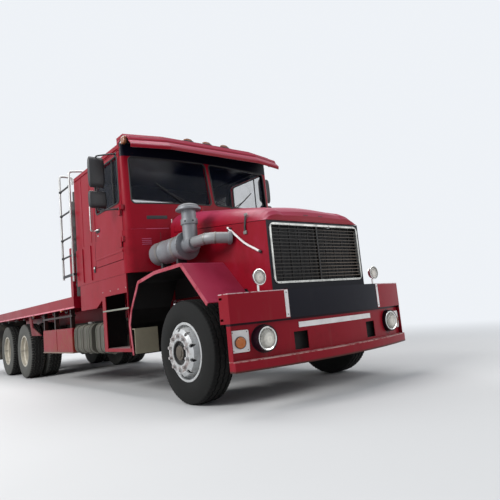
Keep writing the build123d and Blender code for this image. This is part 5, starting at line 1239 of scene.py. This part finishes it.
class TRUCK_OT_windscreen(bpy.types.Operator):
    """Rubber round the panes, wipers and the drip rails."""

    bl_idname = "truck.windscreen"
    bl_label = "Windscreen"

    def execute(self, context):
        shape, rails = Shape(), Shape()
        for side in (-1, 1):
            carried(shape, pane_loop(side), ring(sizes().gasket, 10), 0, closed=True,
                    guide=(0, -1, 0.01))
            foot_x, tip_x = side * 0.30, side * 0.30 + side * 0.30
            foot = np.array((foot_x, float(cab_face(foot_x, 2.30)) - 0.012, 2.297))
            tip = np.array((tip_x, float(cab_face(tip_x, 2.46)) - 0.014, 2.46))
            lathe(shape, foot + (0, 0.02, 0), (0, -1, 0.2),
                  [(0, 0), (0, 0.020), (0.022, 0.018), (0.03, 0.009), (0.03, 0)], 1, 16)
            tube(shape, [foot, (foot + tip) / 2 + (0, -0.012, 0.0), tip], 0.0055, 0.1, 1, 8)
            half = sizes().wiper / 2
            blade = tip + np.array((side * 0.80, 0, 0.60)) * np.linspace(-1, 1, 9)[:, None] * half
            blade[:, 1] = cab_face(blade[:, 0], blade[:, 2]) + 0.010
            blade[:, 2] = np.maximum(blade[:, 2], 2.335)
            bar(shape, blade, (0.012, 0.020, 0.004), 0, guide=AHEAD)
        rail = route(1, (-1.19, 2262, 3.056), (-1.2085, 2330, 3.056), (-1.2085, 3900, 3.056))
        bar(rails, rail, (0.016, 0.014, 0.004))
        rails.mirrored()
        shape.piece("windscreen_rubber", "chassis", "black_plastic", "trim", "plastic")
        rails.piece("drip_rails", "chassis", "red_paint", "red")
        return {"FINISHED"}


class TRUCK_OT_visor_lamps(bpy.types.Operator):
    """Roof marker lamps on their bar, end markers and the deck's side markers."""

    bl_idname = "truck.visor_lamps"
    bl_label = "Visor lamps"

    def execute(self, context):
        shape = Shape()
        pad(shape, point(0, 2072, 3.1945), TOP, (0.82, 0.050, 0.008), 0, 0.012)
        rows = np.array(dome(0.025, 0.024, 0.012, 7))
        a = np.linspace(0, 2 * np.pi, 32, endpoint=False)
        radius, height = rows[:, 1:2], rows[:, :1] + 0 * a
        oval = np.stack([radius * np.cos(a) * 2.7, radius * np.sin(a), height], -1)
        for x in (-0.30, 0.0, 0.30):
            pad(shape, point(x, 2072, 3.2000), TOP, (0.15, 0.056, 0.012), 0, 0.012)
            shape.grid(placed(oval, point(x, 2072, 3.211)), 1)
        for side in (-1, 1):
            for station in (4730, 6330, 8230, 10130):
                pad(shape, point(side * 1.21, station, 1.1695), UNDER, (0.036, 0.056, 0.023), 2,
                    0.008, 0.006)
            pad(shape, point(side * 1.196, 2112, 3.098), outer(side), (0.104, 0.088, 0.034), 1,
                0.016, 0.010)
        made = shape.piece("marker_lamps", "chassis", "lamp_amber", "plastic", "brown", "amber")
        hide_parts("amber_lamps")
        return {"FINISHED"}


class TRUCK_OT_cab_panels(bpy.types.Operator):
    """Seams, louvres, the service panel, grab handles and the visor's closing strips."""

    bl_idname = "truck.cab_panels"
    bl_label = "Cab panels"

    def execute(self, context):
        shape = Shape()
        for side in (-1, 1):
            out = (side, 0, 0)
            for s in (3330, 3640):
                low = route(side, (1.2205, s, 1.50), (1.2205, s, 1.985))
                bar(shape, low, (0.006, 0.022, 0.002), 0, guide=out)
                high = route(side, (1.2055, s, 2.02), (1.2055, s, 3.04))
                bar(shape, high, (0.022, 0.006, 0.002), 0, guide=out)
            handle = route(side, (1.205, 3250, 2.62), (1.236, 3250, 2.62), (1.236, 3250, 2.18),
                           (1.205, 3250, 2.18))
            tube(shape, handle, 0.011, 0.03, 1, 10)
            pad(shape, point(side * 1.2195, 3215, 1.635), outer(side), (0.045, 0.085, 0.012), 2,
                0.006)
            pad(shape, point(side * 1.2305, 3215, 1.655), outer(side), (0.033, 0.028, 0.004), 3,
                0.004)
            for s in (2300, 2520, 2760, 3010):
                bolt(shape, point(side * 1.2148, s, 1.30), out, sizes().rivet * 0.8, 1)
            pad(shape, point(side * 0.962, 2226, 3.149), FRONT, (0.454, 0.084, 0.004), 2)
            # limits across, height, distance in front, the strip's width, height and corner, paint
            strips = [((1.037, 0.928), z, 0.018, 0.012, 0.010, 0.003, 4)
                      for z in (1.805, 1.828, 1.851, 1.874)]
            strips += [((0.953, 0.703), 2.145, 0.001, 0.006, 0.046, 0.003, 2),
                       ((1.150, 0.705), 1.997, 0.016, 0.006, 0.010, 0.002, 4)]
            strips += [((1.056, 0.812), z, 0.015, 0.005, 0.011, 0.001, 2) for z in (1.72, 1.94)]
            for limits, z, front, wide, tall, corner, paint in strips:
                bar(shape, on_cab(side, limits, z, front), (wide, tall, corner), paint)
            for x in (1.056, 0.812):
                bar(shape, up_cab(side, x, 1.72, 1.94, 0.015), (0.005, 0.009, 0.001), 2, guide=LEFT)
            bar(shape, up_cab(side, 0.65, 2.005, 2.12, 0.001), (0.004, 0.012, 0.001), 3, guide=LEFT)
        shape.piece("cab_side_trim", "chassis", "red_paint", "red", "bright", "plastic",
                    "white", "faded_seam")
        return {"FINISHED"}


class TRUCK_OT_door_trim(bpy.types.Operator):
    """Window rubber, handles with their locks, and rub strips."""

    bl_idname = "truck.door_trim"
    bl_label = "Door trim"

    def execute(self, context):
        for word, side in SIDES:
            shape, out = Shape(), (side, 0, 0)
            loop = square(0.76, 0.605, 0.045, 7)
            path = np.stack([np.full(len(loop), side * 1.2035), along(2730) + loop[:, 0],
                             2.6725 + loop[:, 1]], -1)
            carried(shape, path, ring(sizes().gasket, 10), 0, closed=True, guide=out)
            bar(shape, route(side, (1.196, 2540, 2.372), (1.196, 2540, 2.972)),
                (0.020, 0.010, 0.003), 0, guide=out)
            pad(shape, point(side * 1.2045, 3080, 2.145), outer(side), (0.130, 0.058, 0.004), 0,
                0.018)
            handle = route(side, (1.208, 3030, 2.15), (1.236, 3036, 2.15), (1.236, 3124, 2.15),
                           (1.208, 3130, 2.15))
            tube(shape, handle, 0.008, 0.02, 1, 10)
            lathe(shape, point(side * 1.2045, 3080, 2.075), out,
                  [(0, 0), (0, 0.013), (0.005, 0.012), (0.006, 0.0)], 1, 20)
            bar(shape, route(side, (1.2215, 2310, 1.755), (1.2215, 3160, 1.755)),
                (0.007, 0.026, 0.003), 2)
            shape.piece(f"door_trim_{word}", f"door_{word}", "black_plastic", "trim",
                        "chrome", "red")
        return {"FINISHED"}


def mirror_head(shape, origin, wide, tall):
    """A mirror's case: rounded outlines stacked upwards, which shrink towards both ends.

    The outlines keep (1 - |s| ^ 3.2) ^ 0.42 of their depth, with s from -1 at the foot to 1.
    """
    loops = []
    for share in np.linspace(-1, 1, 15):
        keep = (1 - abs(share) ** 3.2) ** 0.42 if abs(share) < 1 else 0.0
        outline = square(wide * (0.80 + 0.20 * keep), 0.070 * max(keep, 0.02),
                         0.034 * max(keep, 0.05), 5)
        loops.append(np.column_stack([outline, np.full(len(outline), share * tall / 2)]))
    loops = [loops[0] * (0, 0, 1)] + loops + [loops[-1] * (0, 0, 1)]
    shape.grid(placed(np.array(loops), origin), 0)


class TRUCK_OT_mirrors(bpy.types.Operator):
    """Mirror heads with glass on bent arms."""

    bl_idname = "truck.mirrors"
    bl_label = "Mirrors"

    def execute(self, context):
        low_arm, high_arm, head_x = 2.29, 3.005, 1.405
        for word, side in SIDES:
            shape = Shape()
            arm = route(side, (1.203, 2388, high_arm), (1.250, 2388, high_arm),
                        (head_x, 2540, high_arm), (head_x, 2540, low_arm),
                        (1.250, 2388, low_arm), (1.203, 2388, low_arm))
            tube(shape, arm, 0.0105, 0.035, 0, 12)
            for z in (high_arm, low_arm):
                foot = point(side * 1.2035, 2388, z)
                pad(shape, foot, outer(side), (0.06, 0.05, 0.006), 0, 0.008)
                for station in (2370, 2406):
                    bolt(shape, point(side * 1.209, station, z), (side, 0, 0), 0.006, 2)
            for low, high, wide in ((2.590, 2.990, 0.215), (2.325, 2.545, 0.235)):
                x, y, z = point(side * head_x, 2540, (low + high) / 2)
                tall = high - low
                mirror_head(shape, (x, y, z), wide, tall)
                pad(shape, (x, y + 0.0305, z), REAR, (wide - 0.027, tall - 0.05, 0.004), 1, 0.03)
                for dz in (-tall * 0.28, tall * 0.28):
                    collar(shape, (x, y, z + dz), UP, 0.02, 0.010, 0.016, 2, 16)
            made = shape.piece(f"mirror_set_{word}", f"door_{word}", "black_plastic",
                               "plastic", "mirror_glass", "steel")
            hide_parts(f"mirror_{word}")
        return {"FINISHED"}


class TRUCK_OT_cabin(bpy.types.Operator):
    """Padded seats on their frames and the gear stick."""

    bl_idname = "truck.cabin"
    bl_label = "Cabin"

    def execute(self, context):
        frames = Shape()
        lean = math.atan2(0.07, 0.62)
        tilted = ((-1, 0, 0), (0, math.sin(lean), math.cos(lean)))
        for name, centre, wide in (("driver", 0.60, 0.52), ("bench", -0.46, 0.86)):
            base, back = Shape(), Shape()
            cushion(base, point(centre, 3010, 1.93), TOP, (wide, 0.52, 0.138), 0.08)
            made = base.piece(f"{name}_seat_pad", "chassis", "seat_cloth", "cloth")
            cushion(back, point(centre, 3252, 2.30), tilted, (wide, 0.60, 0.095), 0.10)
            made = back.piece(f"{name}_back_pad", "chassis", "seat_cloth", "cloth")
            for side in (-1, 1):
                x = centre + side * (wide / 2 - 0.06)
                leg = route(1, (x, 2830, 1.53), (x, 2830, 1.865), (x, 3220, 1.865), (x, 3240, 1.53))
                tube(frames, leg, 0.016, 0.03, 0, 10)
        tube(frames, route(1, (0.06, 2600, 1.53), (0.08, 2640, 1.80), (0.06, 2690, 2.02)), 0.010,
             0.1, 0, 10)
        lathe(frames, point(0.06, 2690, 2.02), (0, 0.1, 1),
              [(0, 0), (0, 0.014), (0.02, 0.024), (0.04, 0.018), (0.048, 0)], 0, 20)
        made = frames.piece("seat_frames", "chassis", "chassis_paint", "trim")
        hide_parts("seats")
        return {"FINISHED"}


class TRUCK_OT_side_gear(bpy.types.Operator):
    """Tank bands and caps, locker rivets and step treads."""

    bl_idname = "truck.side_gear"
    bl_label = "Side gear"

    def execute(self, context):
        shape = Shape()
        side = -1
        loop = square(0.407, 0.402, 0.091, 6)
        for station in (3075, 3340, 3560, 3700, 3940, 4180):
            path = np.stack([side * 1.0025 + loop[:, 0], np.full(len(loop), along(station)),
                             0.705 + loop[:, 1]], -1)
            bar(shape, path, (0.018, 0.005, 0.001), 0, closed=True, guide=BACK)
        for station in (3290, 3880):
            lathe(shape, point(side * 1.06, station, 0.905), UP,
                  [(0, 0), (0, 0.040), (0.018, 0.040), (0.018, 0.048), (0.036, 0.048),
                   (0.040, 0.03), (0.040, 0)], 1, 28)
        for start in (4310, 5060):
            for z in (0.548, 0.852):
                for step in range(7):
                    bolt(shape, point(side * 1.211, start + 110 * step, z), (side, 0, 0),
                         sizes().rivet * 0.6, 1)
        for z in (0.5705, 1.0605):
            for row in range(5):
                x = 0.945 + 0.055 * row
                bar(shape, route(side, (x, 2290, z), (x, 3020, z)), (0.012, 0.006, 0.002), 1)
        bar(shape, route(side, (1.2165, 2245, 1.050), (1.2165, 3040, 1.050)), (0.003, 0.020, 0.001))
        shape.mirrored()
        shape.piece("side_fittings", "chassis", "red_paint", "band", "steel")
        return {"FINISHED"}


class TRUCK_OT_deck_fittings(bpy.types.Operator):
    """Rope hooks, rivets, headboard ribs, tail lamps and the blank rear plate."""

    bl_idname = "truck.deck_fittings"
    bl_label = "Deck fittings"

    def execute(self, context):
        shape, tail = Shape(), Shape()
        side, low, high = -1, 1.120, 1.168
        for step in range(10):
            s = 4420 + 620 * step
            hook = route(side, (1.236, s - 50, high), (1.236, s - 50, low), (1.236, s + 50, low),
                         (1.236, s + 50, high))
            tube(shape, hook, sizes().rope_hook, 0.03, 0, 8)
        for step in range(31):
            for z in (1.215, 1.315):
                bolt(shape, point(side * 1.2494, 4120 + 207 * step, z), (side, 0, 0), 0.0055, 1,
                     0.1)
        for z in np.linspace(1.40, 2.02, 7):
            bar(shape, route(side, (0, 4199, z), (1.185, 4199, z)), (0.012, 0.004, 0.001), 1)
        shape.mirrored()
        shape.piece("deck_hooks", "chassis", "red_paint", "trim", "deck_red")
        for side in (-1, 1):
            for number, paint in enumerate((0, 1, 0)):
                x = side * (0.90 + 0.047 + 0.0933 * number)
                pad(tail, point(x, 10501, 1.25), REAR, (0.090, 0.106, 0.018), paint, 0.01, 0.006)
            pad(tail, point(side * 1.04, 10498, 1.25), REAR, (0.279, 0.109, 0.006), 2, 0.01)
        pad(tail, point(0, 10500, 1.25), REAR, (0.44, 0.115, 0.004), 3, 0.01)
        made = tail.piece("tail_lamp_sets", "chassis", "lamp_red", "tail", "amber",
                          "plastic", "white")
        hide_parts("tail_lamps")
        return {"FINISHED"}


class TRUCK_OT_ladder(bpy.types.Operator):
    """Bright bent rails with black rungs."""

    bl_idname = "truck.ladder"
    bl_label = "Ladder"

    def execute(self, context):
        shape = Shape()
        x, inner, near, far = -1.262, -1.06, 3945, 4390
        front = route(1, (x, near, 1.56), (x, near, 3.23), (inner, near - 90, 3.23),
                      (inner, near - 90, 3.122))
        rear = route(1, (x, far, 1.62), (x, far, 3.28), (inner, far, 3.28), (inner, far, 3.17))
        for rail in (front, rear):
            tube(shape, rail, 0.017, 0.05, 0, 14)
        for z in (1.950, 2.230, 2.620, 3.010):
            tube(shape, route(1, (x, near, z), (x, far, z)), 0.0135, 0.01, 1, 12)
            for station in (near + 14, far - 14):
                collar(shape, point(x, station, z), BACK, 0.014, 0.012, 0.021, 1, 16)
        pad(shape, point(x, 4155, 1.660), outer(-1), (0.470, 0.040, 0.012), 1, 0.006)
        pad(shape, point(-1.237, 3946, 1.660), FRONT, (0.074, 0.040, 0.024), 1, 0.004)
        made = shape.piece("side_ladder", "chassis", "rail_metal", "bright", "plastic")
        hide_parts("ladder")
        return {"FINISHED"}


class TRUCK_OT_silencer(bpy.types.Operator):
    """Standing silencer with rolled ends, raised bands and brackets."""

    bl_idname = "truck.silencer"
    bl_label = "Silencer"

    def execute(self, context):
        shape = Shape()
        x, station = -1.13, 4070
        t = np.linspace(0, np.pi / 2, 6)
        low = [(1.95 + 0.05 * (1 - float(np.cos(v))), 0.05 + 0.0475 * float(np.sin(v))) for v in t]
        high = [(2.80 - 0.05 * (1 - float(np.sin(v))), 0.05 + 0.0475 * float(np.cos(v))) for v in t]
        profile = [(1.34, 0.0), (1.34, 0.048), (1.95, 0.048)] + low
        for band in (2.12, 2.38, 2.64):
            profile += raised(band, 0.03, 0.0965, 0.0978)
        profile += high + [(2.80, 0.048), (2.945, 0.048), (2.949, 0.046), (2.949, 0.043),
                           (2.90, 0.043), (2.90, 0.0)]
        lathe(shape, point(x, station, 0), UP, profile, 0, 48)
        for z, radius in ((2.03, 0.056 + 0.0415), (1.52, 0.056)):
            pad(shape, point(x, 4185, z), FRONT, (0.04, 0.04, 0.09), 1, 0.006)
            collar(shape, point(x, station, z), UP, 0.016, 0.05, radius, 1, 40)
        made = shape.piece("silencer_body", "chassis", "silencer_steel", "silencer", "chassis")
        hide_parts("silencer")
        return {"FINISHED"}


class TRUCK_OT_underbody(bpy.types.Operator):
    """Brake chambers, and air tanks on their straps."""

    bl_idname = "truck.underbody"
    bl_label = "Underbody"

    def execute(self, context):
        shape = Shape()
        side, z = -1, 0.62
        chamber = [(0, 0), (0, 0.055), (0.02, 0.075), (0.07, 0.078), (0.075, 0.083),
                   (0.083, 0.083), (0.09, 0.078), (0.15, 0.074), (0.165, 0.05), (0.165, 0)]
        tank = [(0, 0), (0.005, 0.06), (0.03, 0.10), (0.06, 0.112), (0.50, 0.112), (0.53, 0.10),
                (0.555, 0.06), (0.56, 0)]
        for station in (7260, 8660):
            lathe(shape, point(side * 0.40, station, 0.53), BACK, chamber, 0, 28)
        for station in (4600, 5300):
            lathe(shape, point(side * 0.60, station, z), BACK, tank, 0, 36)
            for strap in (station + 120, station + 420):
                pad(shape, point(side * 0.438, strap, z + 0.12), (BACK, (0, 0, side)),
                    (0.04, 0.20, 0.03), 0, 0.006)
                collar(shape, point(side * 0.60, strap, z), BACK, 0.02, 0.111, 0.116, 1, 36)
        shape.mirrored()
        shape.piece("brake_and_air_gear", "chassis", "chassis_paint", "chassis", "steel")
        return {"FINISHED"}


def make_floor():
    """A wide flat floor under the wheels."""
    half = 60.0
    mesh = bpy.data.meshes.new("floor")
    mesh.from_pydata([(-half, -half, 0), (half, -half, 0), (half, half, 0), (-half, half, 0)], [],
                     [(0, 1, 2, 3)])
    floor = bpy.data.objects.new("floor", mesh)
    bpy.context.scene.collection.objects.link(floor)
    mesh.materials.append(floor_finish())
    return floor


def make_sky():
    """Soft cool light on the object; sight, glass and reflections see the pale backdrop."""
    world = bpy.data.worlds.new("soft_sky")
    bpy.context.scene.world = world
    sky = Nodes(world)
    rays = sky.node("ShaderNodeLightPath")
    seen = sky.math("MAXIMUM", sky.out(rays, "Is Camera Ray"), sky.out(rays, "Is Transmission Ray"))
    seen = sky.math("MAXIMUM", seen, sky.out(rays, "Is Glossy Ray"))
    light, sight = (
        sky.node("ShaderNodeBackground", inputs={"Color": shade, "Strength": strength})
        for shade, strength in (((0.80, 0.88, 1.0), 0.34), (BACKDROP, 1.0))
    )
    inputs = {0: seen, 1: sky.out(light, "Background"), 2: sky.out(sight, "Background")}
    both = sky.node("ShaderNodeMixShader", inputs=inputs)
    sky.node("ShaderNodeOutputWorld", inputs={"Surface": sky.out(both, "Shader")})


def make_lamps():
    """Four soft rectangular lamps, each turned towards a point of the truck."""
    # name, place, what it points at, width, height, watts
    lamps = (
        ("key", (-11.0, -2.5, 8.5), (0, -2.5, 1.2), 6.0, 6.0, 1350),
        ("fill", (5.0, -12.0, 5.0), (0, -4.0, 1.2), 7.0, 5.0, 330),
        ("top", (0.0, 1.0, 10.0), (0, 0.0, 1.0), 6.0, 12.0, 900),
        ("back", (6.0, 10.0, 6.0), (0, 2.0, 1.5), 6.0, 5.0, 500),
    )
    for name, spot, target, wide, tall, power in lamps:
        data = bpy.data.lights.new(name, "AREA")
        data.shape, data.size, data.size_y, data.energy = "RECTANGLE", wide, tall, power
        lamp = bpy.data.objects.new(name, data)
        lamp.location = spot
        lamp.rotation_mode = "QUATERNION"
        lamp.rotation_quaternion = (Vector(target) - Vector(spot)).to_track_quat("-Z", "Y")
        bpy.context.scene.collection.objects.link(lamp)


def make_camera():
    """The camera of the photograph, turned from three angles: heading, rise and lean."""
    focal_pixels, frame_pixels = 477.98, 500
    place = (-3.706, -8.393, 0.865)
    yaw, pitch, roll = (math.radians(v) for v in (39.57, 7.336, -5.538))
    flat = math.cos(pitch)
    ahead = Vector((math.sin(yaw) * flat, math.cos(yaw) * flat, math.sin(pitch)))
    right = Vector((math.cos(yaw), -math.sin(yaw), 0))
    up = right.cross(ahead)
    turned_right = math.cos(roll) * right + math.sin(roll) * up
    turned_up = -math.sin(roll) * right + math.cos(roll) * up
    data = bpy.data.cameras.new("camera")
    data.sensor_width, data.lens = 36.0, 36.0 * focal_pixels / frame_pixels
    camera = bpy.data.objects.new("camera", data)
    turn = Matrix((turned_right, turned_up, -ahead)).transposed().to_4x4()
    camera.matrix_world = Matrix.Translation(place) @ turn
    bpy.context.scene.collection.objects.link(camera)
    bpy.context.scene.camera = camera


class TRUCK_OT_stage(bpy.types.Operator):
    """Pale floor, soft light and the camera of the photograph."""

    bl_idname = "truck.stage"
    bl_label = "Stage"

    def execute(self, context):
        make_floor()
        make_sky()
        make_lamps()
        make_camera()
        bpy.context.scene.view_settings.view_transform = "Standard"
        return {"FINISHED"}


STEPS = (
    TRUCK_OT_node_finishes, TRUCK_OT_tyres, TRUCK_OT_wheel_hubs, TRUCK_OT_front_lamps,
    TRUCK_OT_bumper_trim, TRUCK_OT_grille_back, TRUCK_OT_hood_fittings, TRUCK_OT_air_cleaner,
    TRUCK_OT_windscreen, TRUCK_OT_visor_lamps, TRUCK_OT_cab_panels, TRUCK_OT_door_trim,
    TRUCK_OT_mirrors, TRUCK_OT_cabin, TRUCK_OT_side_gear, TRUCK_OT_deck_fittings,
    TRUCK_OT_ladder, TRUCK_OT_silencer, TRUCK_OT_underbody, TRUCK_OT_stage,
)


class TRUCK_PT_panel(bpy.types.Panel):
    """Buttons for each group of pieces, and the sizes and colours."""

    bl_label = "Bonneted truck"
    bl_idname = "TRUCK_PT_panel"
    bl_space_type = "VIEW_3D"
    bl_region_type = "UI"
    bl_category = "Truck"

    def draw(self, context):
        for step in STEPS:
            self.layout.operator(step.bl_idname)
        for group in (context.scene.truck_sizes, context.scene.truck_colours):
            box = self.layout.box()
            for name in group.__annotations__:
                box.prop(group, name)


CLASSES = (TruckSizes, TruckColours, *STEPS, TRUCK_PT_panel)


def register():
    """Registers the classes, and gives the scene its sizes and colours."""
    for kind in CLASSES:
        bpy.utils.register_class(kind)
    bpy.types.Scene.truck_sizes = bpy.props.PointerProperty(type=TruckSizes)
    bpy.types.Scene.truck_colours = bpy.props.PointerProperty(type=TruckColours)


def unregister():
    """Takes everything away that register added."""
    del bpy.types.Scene.truck_colours
    del bpy.types.Scene.truck_sizes
    for kind in reversed(CLASSES):
        bpy.utils.unregister_class(kind)


def main():
    """Registers the add-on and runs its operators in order."""
    register()
    for step in STEPS:
        group, name = step.bl_idname.split(".")
        getattr(getattr(bpy.ops, group), name)()


if __name__ == "__main__":
    main()
